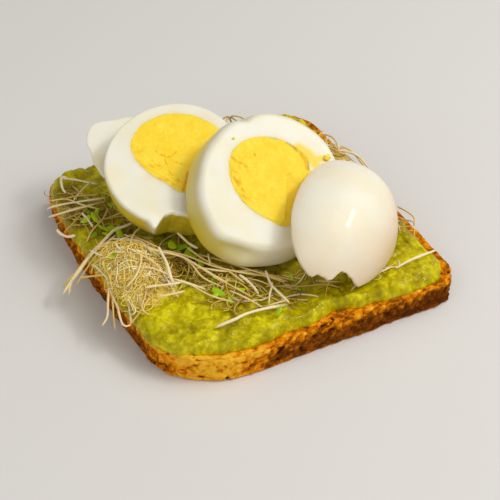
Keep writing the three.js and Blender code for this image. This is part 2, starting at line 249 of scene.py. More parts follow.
class Skin:
    """Closed surfaces gathered into one mesh, with named numbers kept at every point."""

    STEEP = 0.93  # upward part of a direction that counts as upright

    def __init__(self) -> None:
        """Starts empty."""
        self.points: list[Array] = []
        self.quads: list[Array] = []
        self.triangles: list[Array] = []
        self.marks: dict[str, list[Array]] = {}
        self.size = 0

    def _keep(self, points: Array, marks: dict[str, Array]) -> None:
        """Stores points and their marks.

        Args:
            points: points by 3.
            marks: a number for each point, by name.
        """
        self.points.append(points)
        for name, values in marks.items():
            self.marks.setdefault(name, []).append(np.broadcast_to(values, (len(points),)))
        self.size += len(points)

    def grid(self, points: Array, pole: Pole, loop: bool = False, **marks: Array) -> None:
        """Adds a grid whose columns close into a ring.

        Args:
            points: rows by columns by 3, in millimetres.
            pole: which end rows are single points.
            loop: whether the last row joins the first.
            marks: numbers for each point, rows by columns.
        """
        rows, columns = points.shape[:2]
        places = np.arange(rows * columns).reshape(rows, columns)
        starts, ends = pole.value
        keep = np.ones((rows, columns), bool)
        if starts:
            keep[0, 1:] = False
            places[0] = places[0, 0]
        if ends:
            keep[-1, 1:] = False
            places[-1] = places[-1, 0]
        number = np.cumsum(keep.ravel()) - 1 + self.size
        places = number[places.ravel()].reshape(rows, columns)
        if loop:
            places = np.concatenate([places, places[:1]])
        beside = np.roll(places, -1, axis=1)
        quads = stacked(places[:-1], beside[:-1], beside[1:], places[1:])
        if starts:
            self.triangles.append(quads[0][:, [0, 2, 3]])
            quads = quads[1:]
        if ends:
            self.triangles.append(quads[-1][:, [0, 1, 2]])
            quads = quads[:-1]
        self.quads.append(quads.reshape(-1, 4))
        values = {name: np.broadcast_to(v, (rows, columns))[keep] for name, v in marks.items()}
        self._keep(points[keep], values)

    def tubes(self, paths: Array, radii: Array, sides: int, **marks: Array) -> None:
        """Adds round tubes that taper to a point at both ends.

        The frame at each point of a path is its tangent, the tangent crossed with up, and their
        cross product; a ring is the path plus radius times (cos a side + sin a top).

        Args:
            paths: tubes by points by 3.
            radii: tubes by points.
            sides: faces round a tube.
            marks: numbers for each point of each path.
        """
        count, length = paths.shape[:2]
        along = np.gradient(paths, axis=1)
        along /= np.maximum(np.linalg.norm(along, axis=-1, keepdims=True), 1e-9)
        # a path that is nearly upright somewhere takes a level direction for its up
        steep = np.abs(along[..., 2]).max(axis=1) > self.STEEP
        up = np.where(steep[:, None], [[0.6, -0.8, 0.0]], [[0.0, 0.0, 1.0]])[:, None, :]
        side = np.cross(along, up)
        side /= np.maximum(np.linalg.norm(side, axis=-1, keepdims=True), 1e-9)
        top = np.cross(side, along)
        angle = np.arange(sides) * FULL_TURN / sides
        ring = np.cos(angle)[:, None] * side[:, :, None, :] + np.sin(angle)[:, None] * top[:, :, None, :]
        rings = paths[:, :, None, :] + radii[:, :, None, None] * ring
        each = 2 + length * sides
        tips = paths[:, [0, -1]] + np.stack([-along[:, 0], along[:, -1]], 1) * radii[:, [0, -1], None]
        body = rings.reshape(count, length * sides, 3)
        points = np.concatenate([tips[:, :1], body, tips[:, 1:]], axis=1).reshape(-1, 3)
        base = self.size + np.arange(count)[:, None, None] * each + 1
        row = np.arange(length - 1)[None, :, None] * sides
        a = base + row + np.arange(sides)
        b = base + row + (np.arange(sides) + 1) % sides
        self.quads.append(stacked(a, b, b + sides, a + sides).reshape(-1, 4))
        first = base[:, 0] + np.arange(sides)
        second = base[:, 0] + (np.arange(sides) + 1) % sides
        last = (length - 1) * sides
        start = np.broadcast_to(base[:, 0] - 1, first.shape)
        end = np.broadcast_to(base[:, 0] + length * sides, first.shape)
        self.triangles.append(stacked(start, second, first).reshape(-1, 3))
        self.triangles.append(stacked(end, first + last, second + last).reshape(-1, 3))
        spread = {}
        for name, values in marks.items():
            full = np.broadcast_to(values, (count, length))
            inner = np.repeat(full, sides, axis=1)
            spread[name] = np.concatenate([full[:, :1], inner, full[:, -1:]], axis=1).ravel()
        self._keep(points, spread)

    def piece(self, name: str, material: Material, slot: str, *nodes: str) -> bpy.types.Object:
        """Makes the mesh, faces outwards, and puts it on the frame.

        Args:
            name: the piece's name.
            material: its finish.
            slot: the record's material slot that it belongs to; not used.
            nodes: CAD nodes that it stands for.

        Returns:
            The new object.
        """
        points = np.concatenate(self.points) * MM
        quads = np.concatenate(self.quads)
        triangles = np.concatenate(self.triangles) if self.triangles else np.zeros((0, 3), np.int64)
        # six times the volume, from the origin: a closed surface turned inside out has it below 0
        corners = np.concatenate([triangles, quads[:, [0, 1, 2]], quads[:, [0, 2, 3]]])
        a, b, c = (points[corners[:, i]] for i in range(3))
        if np.sum(a * np.cross(b, c)) < 0:
            quads, triangles = quads[:, ::-1], triangles[:, ::-1]
        mesh = bpy.data.meshes.new(name)
        mesh.from_pydata(points.tolist(), [], quads.tolist() + triangles.tolist())
        mesh.polygons.foreach_set("use_smooth", np.ones(len(mesh.polygons), bool))
        for mark, values in self.marks.items():
            layer = mesh.attributes.new(mark, "FLOAT", "POINT")
            layer.data.foreach_set("value", np.concatenate(values).astype(np.float32))
        mesh.update()
        mesh.materials.append(material)
        piece = bpy.data.objects.new(name, mesh)
        bpy.context.scene.collection.objects.link(piece)
        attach(piece, "root")
        if nodes:
            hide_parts(*nodes)
        log.info("%s: %d triangles", name, 2 * len(quads) + len(triangles))
        return piece


# ---- materials


def paint(red: float, green: float, blue: float) -> Four:
    """A colour given from 0 to 255 as on a screen, in the linear numbers that a shader takes."""
    parts = [c / 255 for c in (red, green, blue)]
    return (*(c / 12.92 if c <= 0.04045 else ((c + 0.055) / 1.055) ** 2.4 for c in parts), 1.0)


class Value:
    """A number in a node tree that can be used in Python arithmetic."""

    def __init__(self, bench: "Bench", socket: Socket) -> None:
        """Wraps an output socket."""
        self.bench = bench
        self.socket = socket

    def _math(self, operation: str, first: "Value | float", second: "Value | float") -> "Value":
        """One Math node on two numbers."""
        return self.bench.number("ShaderNodeMath", {"operation": operation}, {0: first, 1: second})

    def __add__(self, other: "Value | float") -> "Value":
        """Self + other."""
        return self._math("ADD", self, other)

    __radd__ = __add__

    def __sub__(self, other: "Value | float") -> "Value":
        """Self - other."""
        return self._math("SUBTRACT", self, other)

    def __rsub__(self, other: "Value | float") -> "Value":
        """Other - self."""
        return self._math("SUBTRACT", other, self)

    def __mul__(self, other: "Value | float") -> "Value":
        """Self * other."""
        return self._math("MULTIPLY", self, other)

    __rmul__ = __mul__

    def between(self, low: float, high: float) -> "Value":
        """A smooth step from 0 at low to 1 at high."""
        smooth, ends = {"interpolation_type": "SMOOTHSTEP"}, {"From Min": low, "From Max": high}
        return self.bench.number("ShaderNodeMapRange", smooth, {"Value": self, **ends}, "Result")


class Bench:
    """A material being made: its tree, its shader and the nodes that feed it."""

    def __init__(self, name: str, **plain: float | tuple) -> None:
        """Starts a material with a shader whose own sockets take the plain settings.

        Args:
            name: the finish's name.
            plain: values for the shader's sockets, with _ for a space in the socket's name.
        """
        self.material = bpy.data.materials.new(name)
        self.material.use_nodes = True
        self.tree = self.material.node_tree
        self.shader = self.tree.nodes["Principled BSDF"]
        for key, value in plain.items():
            self.feed(self.shader, {key.replace("_", " ").title().replace("Ior", "IOR"): value})
        self.place = self.node("ShaderNodeTexCoord", {}, {}).outputs["Object"]

    def feed(self, node: bpy.types.Node, inputs: dict) -> None:
        """Gives sockets of a node their values or links.

        Args:
            node: the node.
            inputs: values or links, by the socket's name or number.
        """
        for key, value in inputs.items():
            if isinstance(value, Value):
                value = value.socket
            if isinstance(value, Socket):
                self.tree.links.new(value, node.inputs[key])
            else:
                node.inputs[key].default_value = value

    def node(self, kind: str, settings: dict, inputs: dict) -> bpy.types.Node:
        """Adds a node.

        Args:
            kind: the node's type.
            settings: its own settings, with a ramp's stops under "stops" as (place, colour).
            inputs: values or links for its sockets, by name or number.

        Returns:
            The node.
        """
        made = self.tree.nodes.new(kind)
        for key, value in settings.items():
            if key == "stops":
                elements = made.color_ramp.elements
                while len(elements) < len(value):
                    elements.new(0.5)
                for element, (place, colour) in zip(elements, value):
                    element.position = place
                    element.color = colour
            else:
                setattr(made, key, value)
        self.feed(made, inputs)
        return made

    def number(self, kind: str, settings: dict, inputs: dict, output: str = "Value") -> Value:
        """Adds a node and takes one of its outputs as a number."""
        return Value(self, self.node(kind, settings, inputs).outputs[output])

    def mark(self, name: str) -> Value:
        """The number kept at the mesh's points under a name."""
        return self.number("ShaderNodeAttribute", {"attribute_name": name}, {}, "Fac")

    def noise(self, pitch: float, detail: float = 3.0, keep: float = 0.5) -> Value:
        """Noise from 0 to 1 whose lumps are pitch millimetres apart."""
        inputs = {"Vector": self.place, "Scale": 1 / (pitch * MM), "Detail": detail, "Roughness": keep}
        return self.number("ShaderNodeTexNoise", {}, inputs, "Fac")

    def ramp(self, factor: Value, *stops: tuple[float, tuple]) -> Socket:
        """A colour read from stops by a number."""
        return self.node("ShaderNodeValToRGB", {"stops": stops}, {"Fac": factor}).outputs["Color"]

    def mix(self, factor: Value, first: object, second: object) -> Socket:
        """A colour that goes from first to second with the factor; 6, 7 and 2 are its colour sockets."""
        inputs = {"Factor": factor, 6: first, 7: second}
        return self.node("ShaderNodeMix", {"data_type": "RGBA"}, inputs).outputs[2]

    def wear(self, colour: object, roughness: object, bump: Value | None, depth: float) -> Material:
        """Feeds the shader.

        Args:
            colour: what goes to Base Color.
            roughness: what goes to Roughness.
            bump: height of the fine relief, from 0 to 1.
            depth: its depth in millimetres.

        Returns:
            The finished material.
        """
        self.feed(self.shader, {"Base Color": colour, "Roughness": roughness})
        if bump is not None:
            relief = {"Height": bump, "Distance": depth * MM, "Strength": 1.0}
            made = self.node("ShaderNodeBump", {}, relief)
            self.feed(self.shader, {"Normal": made.outputs["Normal"]})
        return self.material


@dataclass(frozen=True)
class ToastedCrumb:
    """Toasted bread: golden grains with painted shade in the pores, darker brown towards the right and left
    sides.
    """

    peak: tuple = paint(252, 192, 50)
    golden: tuple = paint(234, 140, 8)
    brown: tuple = paint(148, 80, 4)
    burnt: tuple = paint(98, 46, 2)
    pore_shade: tuple = paint(66, 30, 2)

    def dress(self) -> Material:
        """Makes the material.

        Returns:
            The finish, for a mesh.
        """
        b = Bench("toasted_crumb", specular_ior_level=0.06)
        pit, toasted = b.mark("pit"), b.mark("toasted")
        speck = b.noise(1.0, 4.0, 0.65)
        # painted shade: deeper pits darken the crust and shallow grain tops turn paler
        tone = toasted + (b.noise(4.5) - 0.5) * 0.6 + (speck - 0.5) * 1.5 + (pit - 0.45) * 0.8
        stops = ((0.0, self.peak), (0.28, self.golden), (0.6, self.brown), (0.98, self.burnt))
        crust = b.ramp(tone * 0.7, *stops)
        # painted shade: the deepest pits turn nearly black-brown
        depth = (pit + (speck - 0.5) * 0.6).between(0.65, 1.2)
        colour = b.mix(depth, crust, self.pore_shade)
        return b.wear(colour, 0.85, b.noise(0.7, 4.0, 0.65), 0.34)


@dataclass(frozen=True)
class MashedAvocado:
    """Mashed avocado: wet, yellow green, with paler creamy lumps, pale specks painted as wet highlights, and
    painted shade in its creases.
    """

    flesh: tuple = paint(187, 172, 0)
    creamy: tuple = paint(222, 212, 18)
    # speck is a painted highlight; deep is also the creases' painted shade, and shade the sprouts' painted
    # shadow
    speck: tuple = paint(246, 236, 120)
    deep: tuple = paint(152, 138, 0)
    shade: tuple = paint(92, 72, 8)

    def colour(self, b: Bench, crease: Value) -> Socket:
        """The mash's colour: blotches, painted shade in the creases, the sprouts' shadow painted brown, and
        pale specks painted as highlights.

        Args:
            b: the material being made.
            crease: depth of the creases, which sets their painted shade, over 1 where the sprouts' shadow is
                painted.

        Returns:
            The colour's socket.
        """
        blend = b.noise(3.6, 3.0) + (b.noise(1.4, 2.0) - 0.5) * 0.6 + (b.noise(10.0, 1.0) - 0.5) * 0.5
        flesh = b.ramp(blend, (0.25, self.deep), (0.5, self.flesh), (0.72, self.creamy))
        # painted shade: darker towards deep in the creases
        flesh = b.mix(crease.between(0.3, 1.0) * 0.65, flesh, self.deep)
        # painted highlights: small pale specks where the wet mash would glint
        flesh = b.mix(b.noise(0.9, 1.0).between(0.68, 0.8) * 0.7, flesh, self.speck)
        # painted shadow of the sprouts: brown where the creases' mark goes over 1
        return b.mix(crease.between(0.85, 1.6) * 0.8, flesh, self.shade)

    def dress(self) -> Material:
        """Makes the material.

        Returns:
            The finish, for a mesh.
        """
        b = Bench(
            "mashed_avocado",
            subsurface_weight=0.12,
            subsurface_radius=(1.0, 0.9, 0.25),
            subsurface_scale=0.0015,
            coat_weight=0.26,
            coat_roughness=0.06,
            specular_ior_level=0.04,
        )
        colour = self.colour(b, b.mark("crease"))
        rough = b.noise(2.0).between(0.35, 0.65) * 0.25 + 0.28
        return b.wear(colour, rough, b.noise(1.3, 3.0, 0.55), 0.26)


@dataclass(frozen=True)
class CookedWhite:
    """Cooked egg white: smooth, moist and slightly translucent, with painted olive shade low down, the
    avocado's green reflected in it, and creamier by the yolk.
    """

    name: str = "cooked_white"
    pale: tuple = paint(239, 236, 220)
    cream: tuple = paint(238, 231, 202)
    # painted shade: olive, with the avocado's green reflected low on the walls
    low: tuple = paint(210, 188, 44)
    stained: tuple = paint(252, 214, 60)
    gloss: float = 0.33
    skin: float = 0.3
    shine: float = 0.3

    def dress(self) -> Material:
        """Makes the material.

        Returns:
            The finish, for a mesh.
        """
        b = Bench(
            self.name,
            subsurface_weight=0.35,
            subsurface_radius=(1.0, 0.85, 0.6),
            subsurface_scale=0.0025,
            coat_weight=self.skin,
            coat_roughness=0.1,
            specular_ior_level=self.shine,
        )
        soft = b.noise(9.0, 2.0)
        pale = b.mix(soft.between(0.35, 0.7), self.pale, self.cream)
        # painted shade low on the walls, by the mark low
        colour = b.mix(b.mark("low"), pale, self.low)
        colour = b.mix(b.mark("stain"), colour, self.stained)
        rough = b.noise(3.0, 2.0) * 0.12 + self.gloss
        return b.wear(colour, rough, b.noise(2.4, 3.0, 0.5), 0.06)


@dataclass(frozen=True)
class CookedYolk:
    """Cooked yolk: matt and crumbly, warm yellow, with painted shade in deeper orange in its cracks, grooves
    and hollows.
    """

    name: str = "cooked_yolk"
    bright: tuple = paint(255, 226, 66)
    warm: tuple = paint(253, 212, 34)
    # deep is the painted shade in cracks, grooves and hollows
    deep: tuple = paint(244, 182, 14)

    def dress(self) -> Material:
        """Makes the material.

        Returns:
            The finish, for a mesh.
        """
        b = Bench(
            self.name,
            subsurface_weight=0.15,
            subsurface_radius=(1.0, 0.7, 0.15),
            subsurface_scale=0.0015,
            specular_ior_level=0.3,
        )
        blend = b.noise(5.0, 4.0, 0.6)
        crumb = b.ramp(blend, (0.3, self.warm), (0.68, self.bright))
        # painted shade: deeper orange in the cracks, grooves and hollows, and the cap's shadow along the fold
        colour = b.mix(b.mark("crack").between(0.1, 1.0), crumb, self.deep)
        return b.wear(colour, 0.62, b.noise(0.9, 4.0, 0.6), 0.12)


@dataclass(frozen=True)
class SproutFlesh:
    """Sprout stems: glassy pale straw, browner where they have aged, greener at the leaf end."""

    name: str
    pale: tuple
    straw: tuple
    brown: tuple = paint(150, 122, 40)
    green: tuple = paint(150, 160, 40)
    gloss: float = 0.4

    def dress(self) -> Material:
        """Makes the material.

        Returns:
            The finish, for a mesh.
        """
        b = Bench(
            self.name,
            subsurface_weight=0.2,
            subsurface_radius=(1.0, 0.8, 0.5),
            subsurface_scale=0.0006,
            specular_ior_level=0.5,
        )
        colour = b.ramp(b.mark("tone"), (0.0, self.pale), (0.55, self.straw), (1.0, self.brown))
        colour = b.mix(b.mark("leafy"), colour, self.green)
        return b.wear(colour, self.gloss, b.noise(0.8, 2.0), 0.05)


@dataclass(frozen=True)
class SproutMat:
    """The felted inside of the heap: golden straw with painted shade in its hollows, and mash between the
    sprouts away from it.
    """

    straw: tuple = paint(255, 226, 96)
    # painted shade in the felt's hollows
    hollow_shade: tuple = paint(176, 132, 34)
    wet: MashedAvocado = MashedAvocado()

    def dress(self) -> Material:
        """Makes the material.

        Returns:
            The finish, for a mesh.
        """
        b = Bench("sprout_mat", specular_ior_level=0.35)
        # painted shade: the felt darker in its hollows
        hollow = b.mark("hollow") + (b.noise(1.6, 3.0) - 0.5) * 0.6
        felt = b.ramp(hollow, (0.2, self.straw), (0.8, self.hollow_shade))
        # away from the heap the hollows become the mash's painted crease shade
        colour = b.mix(b.mark("heap"), self.wet.colour(b, b.mark("hollow")), felt)
        return b.wear(colour, 0.6, b.noise(0.6, 3.0, 0.6), 0.2)


@dataclass(frozen=True)
class SeedLeaf:
    """Seed leaves of the sprouts: fresh green, a little glossy, some paler than others."""

    fresh: tuple = paint(118, 172, 0)
    pale: tuple = paint(180, 206, 22)

    def dress(self) -> Material:
        """Makes the material.

        Returns:
            The finish, for a mesh.
        """
        b = Bench("seed_leaf", specular_ior_level=0.25)
        blend = b.noise(1.4, 2.0) * 0.7 + b.mark("tone") * 0.6
        colour = b.ramp(blend, (0.25, self.fresh), (0.8, self.pale))
        return b.wear(colour, 0.38, b.noise(0.5, 2.0), 0.05)


# ---- bread


class Outline:
    """The slice's edge seen from above, read by turn: the share of its length from the front's middle."""

    # corner roundings, as (along X, along Y)
    FRONT_RIGHT = (10.0, 10.0)
    BACK_RIGHT = (17.0, 17.0)
    BACK_LEFT = (11.0, 11.0)
    FRONT_LEFT = (29.0, 23.0)

    def __init__(self, width: float, depth: float, bow: float, bow_at: float) -> None:
        """Joins the four sides and the four rounded corners.

        Args:
            width: along X.
            depth: along Y.
            bow: how far the left side's curve is pulled out.
            bow_at: where along Y it is pulled.
        """
        right, back = width / 2, depth / 2
        left_back = [-right, back - self.BACK_LEFT[1]]
        left_front = [-right, -back + self.FRONT_LEFT[1]]
        parts = [
            [[0.0, -back]],
            self._corner(right, -back, self.FRONT_RIGHT, 3),
            self._corner(right, back, self.BACK_RIGHT, 0),
            self._corner(-right, back, self.BACK_LEFT, 1),
            self._bow(left_back, [-right - bow, bow_at], left_front),
            self._corner(-right, -back, self.FRONT_LEFT, 2),
            [[0.0, -back]],
        ]
        self.path = np.concatenate([np.asarray(p, float) for p in parts])
        steps = np.linalg.norm(np.diff(self.path, axis=0), axis=1)
        self.length = np.concatenate([[0], np.cumsum(steps)])

    @staticmethod
    def _corner(x: float, y: float, radii: Pair, quarter: int) -> Array:
        """A quarter of an ellipse in a corner of the slice's square: middle + (rx cos a, ry sin a).

        Args:
            x: the corner's place along X.
            y: its place along Y.
            radii: the rounding along X and along Y.
            quarter: quarter turns from +X to the start, anticlockwise.

        Returns:
            Points of the arc.
        """
        rx, ry = radii
        angle = (quarter + np.linspace(0, 1, 60)) * math.pi / 2
        middle_x, middle_y = x - math.copysign(rx, x), y - math.copysign(ry, y)
        return stacked(middle_x + rx * np.cos(angle), middle_y + ry * np.sin(angle))

    @staticmethod
    def _bow(start: list, pull: list, end: list) -> Array:
        """A quadratic curve: (1 - t)^2 start + 2 t (1 - t) pull + t^2 end."""
        t = np.linspace(0, 1, 80)[:, None]
        return (1 - t) ** 2 * np.array(start) + 2 * t * (1 - t) * np.array(pull) + t**2 * np.array(end)

    def point(self, turn: Array) -> Array:
        """Points on the edge."""
        at = np.mod(turn, 1.0) * self.length[-1]
        return np.stack([np.interp(at, self.length, self.path[:, i]) for i in (0, 1)], axis=-1)

    def inward(self, turn: Array) -> Array:
        """Directions into the slice, square to the chord over a short stretch of the edge.

        Args:
            turn: places on the edge.

        Returns:
            Unit directions.
        """
        reach = 0.004
        along = self.point(turn + reach) - self.point(turn - reach)
        along /= np.linalg.norm(along, axis=-1, keepdims=True)
        return stacked(-along[..., 1], along[..., 0])


@dataclass
class BreadSlice:
    """The toasted slice: grainy sides full of small pores, and a crust a little above the crumb."""

    outline: Outline
    thickness: float = 10.0
    crumb_drop: float = 0.4
    crust_width: float = 4.0
    edge_round: float = 1.5
    grain_pitch: float = 2.1
    columns: int = 820
    grain: Grain = field(default_factory=lambda: Grain(SEED))

    def _profile(self) -> Array:
        """Rows from the middle of the underside over the edge to the middle of the crumb.

        Returns:
            Inset from the edge, share of the way out, height, and the outward and upward parts of
            the direction that the surface faces in, one row each.
        """
        q = self.edge_round
        low = np.linspace(0, math.pi / 2, 6)
        rows = [(4.0, share, 0.0, 0.0, -1.0) for share in np.linspace(0, 1, 9)]
        rows += [(inset, 1.0, 0.0, 0.0, -1.0) for inset in (3.2, 2.6, 2.0)]
        rows += [(q - q * math.sin(a), 1.0, q - q * math.cos(a), math.sin(a), -math.cos(a)) for a in low]
        sides = np.linspace(q, self.thickness - q, 22)[1:-1]
        rows += [(0.0, 1.0, z, 1.0, 0.0) for z in sides]
        rows += [
            (q - q * math.cos(a), 1.0, self.thickness - q + q * math.sin(a), math.cos(a), math.sin(a))
            for a in low
        ]
        rim = np.linspace(q, self.crust_width, 8)[1:]
        drop = self.crumb_drop * eased(q, self.crust_width, rim)
        rows += [(i, 1.0, self.thickness - d, 0.0, 1.0) for i, d in zip(rim, drop)]
        crumb = self.thickness - self.crumb_drop
        inner = np.concatenate([1 - np.linspace(0.012, 0.3, 24), np.linspace(0.62, 0, 8)])
        rows += [(self.crust_width, share, crumb, 0.0, 1.0) for share in inner]
        return np.array(rows)

    def build(self) -> None:
        """Places the rows, then presses pores and grains into them, always inwards."""
        rows = self._profile()
        turn = np.arange(self.columns) / self.columns
        edge, inward = self.outline.point(turn), self.outline.inward(turn)
        inset, share, height, out, up = (rows[:, i, None] for i in range(5))
        flat = (edge + inset[..., None] * inward) * share[..., None]
        points = with_height(flat, height)
        facing = with_height(np.broadcast_to(-inward * out[..., None], flat.shape), up)
        shift = self._ragged(points, inset, height)
        points[..., :2] += inward * (shift * (share > 0.999))[..., None]
        warp = 0.8 * self.grain.warp(points, 2.5, 21.0)
        nearest, _, tone = self.grain.cells(points + warp, self.grain_pitch)
        patchy = eased(-0.5, 0.5, self.grain.lumps(points + 11, 6.0))
        pores = eased(0.15, 0.8, self.grain.lumps(points + warp + 40, self.grain_pitch)) * patchy
        fine = 0.5 + 0.5 * self.grain.rough(points, 1.3, 3, 0.7)
        side = np.clip(out, 0, 1)
        sunk = 1.15 * nearest + 0.85 * pores + 0.75 * fine
        amount = (0.3 + 0.7 * side) * sunk
        amount = amount * np.where(up < -0.5, 0.55, 1.0)
        points = points - facing * amount[..., None]
        points[..., 2] = np.clip(points[..., 2], 0.0, self.thickness)
        # how deep the pits and pores are, which the crust's colour darkens as painted shade
        pit = np.clip(0.6 * nearest + 0.6 * pores + 0.5 * fine, 0, 1.4)
        skin = Skin()
        skin.grid(points, Pole.BOTH, pit=pit, toasted=self._toasted(points, side, tone))
        skin.piece("toast_slice", ToastedCrumb().dress(), "toasted_bread", "bread_slice")

    def _ragged(self, points: Array, inset: Array, height: Array) -> Array:
        """How far the rim moves in: broad waves and knobs, more at the foot, and the flat rows follow it.

        Args:
            points: rows by columns by 3.
            inset: distance from the edge, by row.
            height: height, by row.

        Returns:
            Millimetres, rows by columns.
        """
        wave = 0.5 + 0.5 * self.grain.rough(points * [1, 1, 0.35] + 90, 13.0, 3)
        knobs = 0.5 + 0.5 * self.grain.rough(points * [1, 1, 0.5] + 130, 4.2, 2)
        ends = 0.4 + 0.9 * eased(4.0, 0.8, height) + 0.5 * eased(7.5, 9.6, height)
        return (1.1 * wave * (1 - 0.4 * eased(6.0, 9.5, height)) + knobs * ends) * eased(4.0, 0.0, inset)

    @staticmethod
    def _toasted(points: Array, side: Array, tone: Array) -> Array:
        """How dark the crust is coloured: pale at the front left and high up, darker low down on the sides,
        and darker still low on the right.

        Args:
            points: rows by columns by 3.
            side: 1 on the upright side, 0 on the flat parts.
            tone: a number from 0 to 1 for each grain.

        Returns:
            0 for pale to about 1 for burnt.
        """
        x, y, z = (points[..., i] for i in range(3))
        corner = eased(-12, -30, x) * eased(-30, -50, y)
        toasted = 0.42 + 0.32 * side * (1 - corner) - 0.42 * corner
        toasted = toasted + 0.34 * eased(8, 2, z) * (1 - corner) * side
        toasted = toasted - 0.3 * eased(6.5, 9.0, z) * side + (tone - 0.5) * 0.5
        toasted = toasted - 0.2 * eased(-20, -46, x) * eased(-50, -30, y) * side
        return toasted + 0.2 * eased(-5, 25, x) * eased(8.5, 5.5, z) * side


# ---- avocado


@dataclass
class AvocadoMash:
    """The mash: rounded lumps with creases, a thick uneven edge and a bare corner of bread."""

    outline: Outline
    bottom: float = 9.3
    level: float = 13.1
    pressed_to: float = 13.2
    columns: int = 760
    grain: Grain = field(default_factory=lambda: Grain(SEED + 1))
    # places where the sprouts' shadow is painted on the mash: middle and half-widths
    shaded: list[Four] = field(
        default_factory=lambda: [
            (-24.0, -12.0, 12.0, 14.0), (-10.0, -27.0, 14.0, 9.0), (6.0, -36.0, 12.0, 4.5),
            (-46.0, 28.0, 9.0, 14.0), (-38.0, 13.0, 10.0, 8.0),
        ]
    )
    # bare bread left round the mash, by turn
    bare_rim: dict[float, float] = field(
        default_factory=lambda: {
            0.0: 4.4, 0.016: 5.8, 0.04: 3.2, 0.075: 1.6, 0.1: 2.6, 0.13: 4.4, 0.16: 4.2, 0.24: 4.2,
            0.36: 4.0, 0.5: 3.4, 0.6: 2.8, 0.68: 0.8, 0.76: 1.2, 0.84: 0.9, 0.87: 1.3, 0.905: 3.2,
            0.944: 3.0, 0.984: 3.8,
        }
    )

    def lumps(self, flat: Array) -> tuple[Array, Array]:
        """Rounded chunks at two pitches with creases between them.

        Args:
            flat: points in millimetres.

        Returns:
            Rise over the level, and creases from 0 to 1 for painted shade, up to 1.7 where the sprouts'
            shadow is painted.
        """
        warp = 1.3 * self.grain.warp(flat, 3.6, 31.0)
        near_big, _, tone_big = self.grain.cells(flat + warp + 7, 5.2)
        near_small, _, tone_small = self.grain.cells(flat + 0.7 * warp + 19, 2.8)
        big = np.clip(1 - (near_big / 0.95) ** 2, 0, 1) * (0.45 + 0.55 * tone_big)
        small = np.clip(1 - (near_small / 0.95) ** 2, 0, 1) * (0.3 + 0.7 * tone_small)
        fine = self.grain.rough(flat + 53, 2.0, 2)
        roll = self.grain.rough(flat + 77, 15.0, 2)
        crease = np.clip(1.0 - 1.1 * big - 0.5 * small - 0.1 * fine, 0, 1)
        # painted shadow of the sprouts, added to the creases' painted shade
        for x, y, wide, deep in self.shaded:
            near = np.exp(-(((flat[..., 0] - x) / wide) ** 2) - ((flat[..., 1] - y) / deep) ** 2)
            crease = np.maximum(crease, 1.7 * near * (0.8 + 0.2 * fine))
        return 2.2 * big + 0.8 * small + 0.3 * fine + 0.8 * roll - 1.4, crease

    def top(self, x: Array, y: Array) -> tuple[Array, Array]:
        """Height of the mash, pressed flat under the egg, and the depth of its creases.

        Args:
            x: places along X.
            y: places along Y.

        Returns:
            Heights in millimetres, and creases from 0 to 1 for painted shade, more where the sprouts' shadow
            is painted.
        """
        rise, crease = self.lumps(stacked(x, y, np.zeros_like(x)))
        open_top = self.level + rise
        share = eased(0.7, 0.9, np.hypot((x - 2) / 36, (y + 2) / 46))
        return np.minimum(open_top, self.pressed_to) * (1 - share) + open_top * share, crease

    def build(self) -> None:
        """Draws rows from the underside round the edge and in over the top.

        The top falls to the rim as a quarter of an ellipse: its height over the bread times
        sin a, at a distance w (1 - cos a) from the rim.
        """
        turn = np.arange(self.columns) / self.columns
        edge, inward = self.outline.point(turn), self.outline.inward(turn)
        ring = with_height(edge, 0.0)
        ragged = 1.1 * self.grain.rough(ring, 7.0, 3, 0.6) + 0.5
        margin = around(self.bare_rim, 1.0, turn) + ragged
        rim = edge + inward * margin[:, None]
        reach = np.linalg.norm(rim, axis=-1)
        thin = eased(0.07, 0.12, turn) * eased(0.42, 0.34, turn)
        wide = 2.4 + 0.9 * self.grain.lumps(ring + 50, 9.0) + 3.6 * thin
        angle = np.linspace(0, math.pi / 2, 18)
        share_edge = 1 - wide * (1 - np.cos(angle[:, None])) / reach
        inner = share_edge[-1] * np.linspace(1, 0, 98)[1:, None]
        share = np.concatenate([np.linspace(0, 1, 4)[:, None] * share_edge[0], share_edge[1:], inner])
        lift = np.concatenate([np.zeros(4), np.sin(angle[1:]), np.ones(97)])[:, None]
        flat = rim * share[..., None]
        top, crease = self.top(flat[..., 0], flat[..., 1])
        height = self.bottom + (top - self.bottom) * lift
        points = with_height(flat, height)
        fine = 0.24 * self.grain.rough(points, 1.6, 2) * np.sqrt(lift)
        push = normals_of(points, False) * fine[..., None]
        points[4:-1] += push[4:-1]
        skin = Skin()
        # the creases' mark carries their painted shade and the sprouts' painted shadow
        skin.grid(points, Pole.BOTH, crease=crease)
        skin.piece("avocado_layer", MashedAvocado().dress(), "avocado", "avocado_mash")


# ---- egg


@dataclass(frozen=True)
class Seat:
    """Where an egg piece sits: local X is the egg's long axis and local Z faces out of the cut."""

    at: Triple
    facing: Pair
    turn: float

    def axes(self) -> Array:
        """The piece's own directions: the long axis is the uphill way in the cut, turned about the normal.

        Returns:
            The directions of local X, Y and Z, one row each.
        """
        azimuth, elevation, spin = (math.radians(v) for v in (*self.facing, self.turn))
        level = np.array([math.cos(azimuth), math.sin(azimuth), 0.0]) * math.cos(elevation)
        normal = level + [0.0, 0.0, math.sin(elevation)]
        uphill = np.array([0.0, 0.0, 1.0]) - normal[2] * normal
        uphill /= np.linalg.norm(uphill)
        long = uphill * math.cos(spin) + np.cross(normal, uphill) * math.sin(spin)
        return np.stack([long, np.cross(normal, long), normal])

    def place(self, local: Array) -> Array:
        """Points of the piece in the toast's frame."""
        return local @ self.axes() + np.array(self.at)


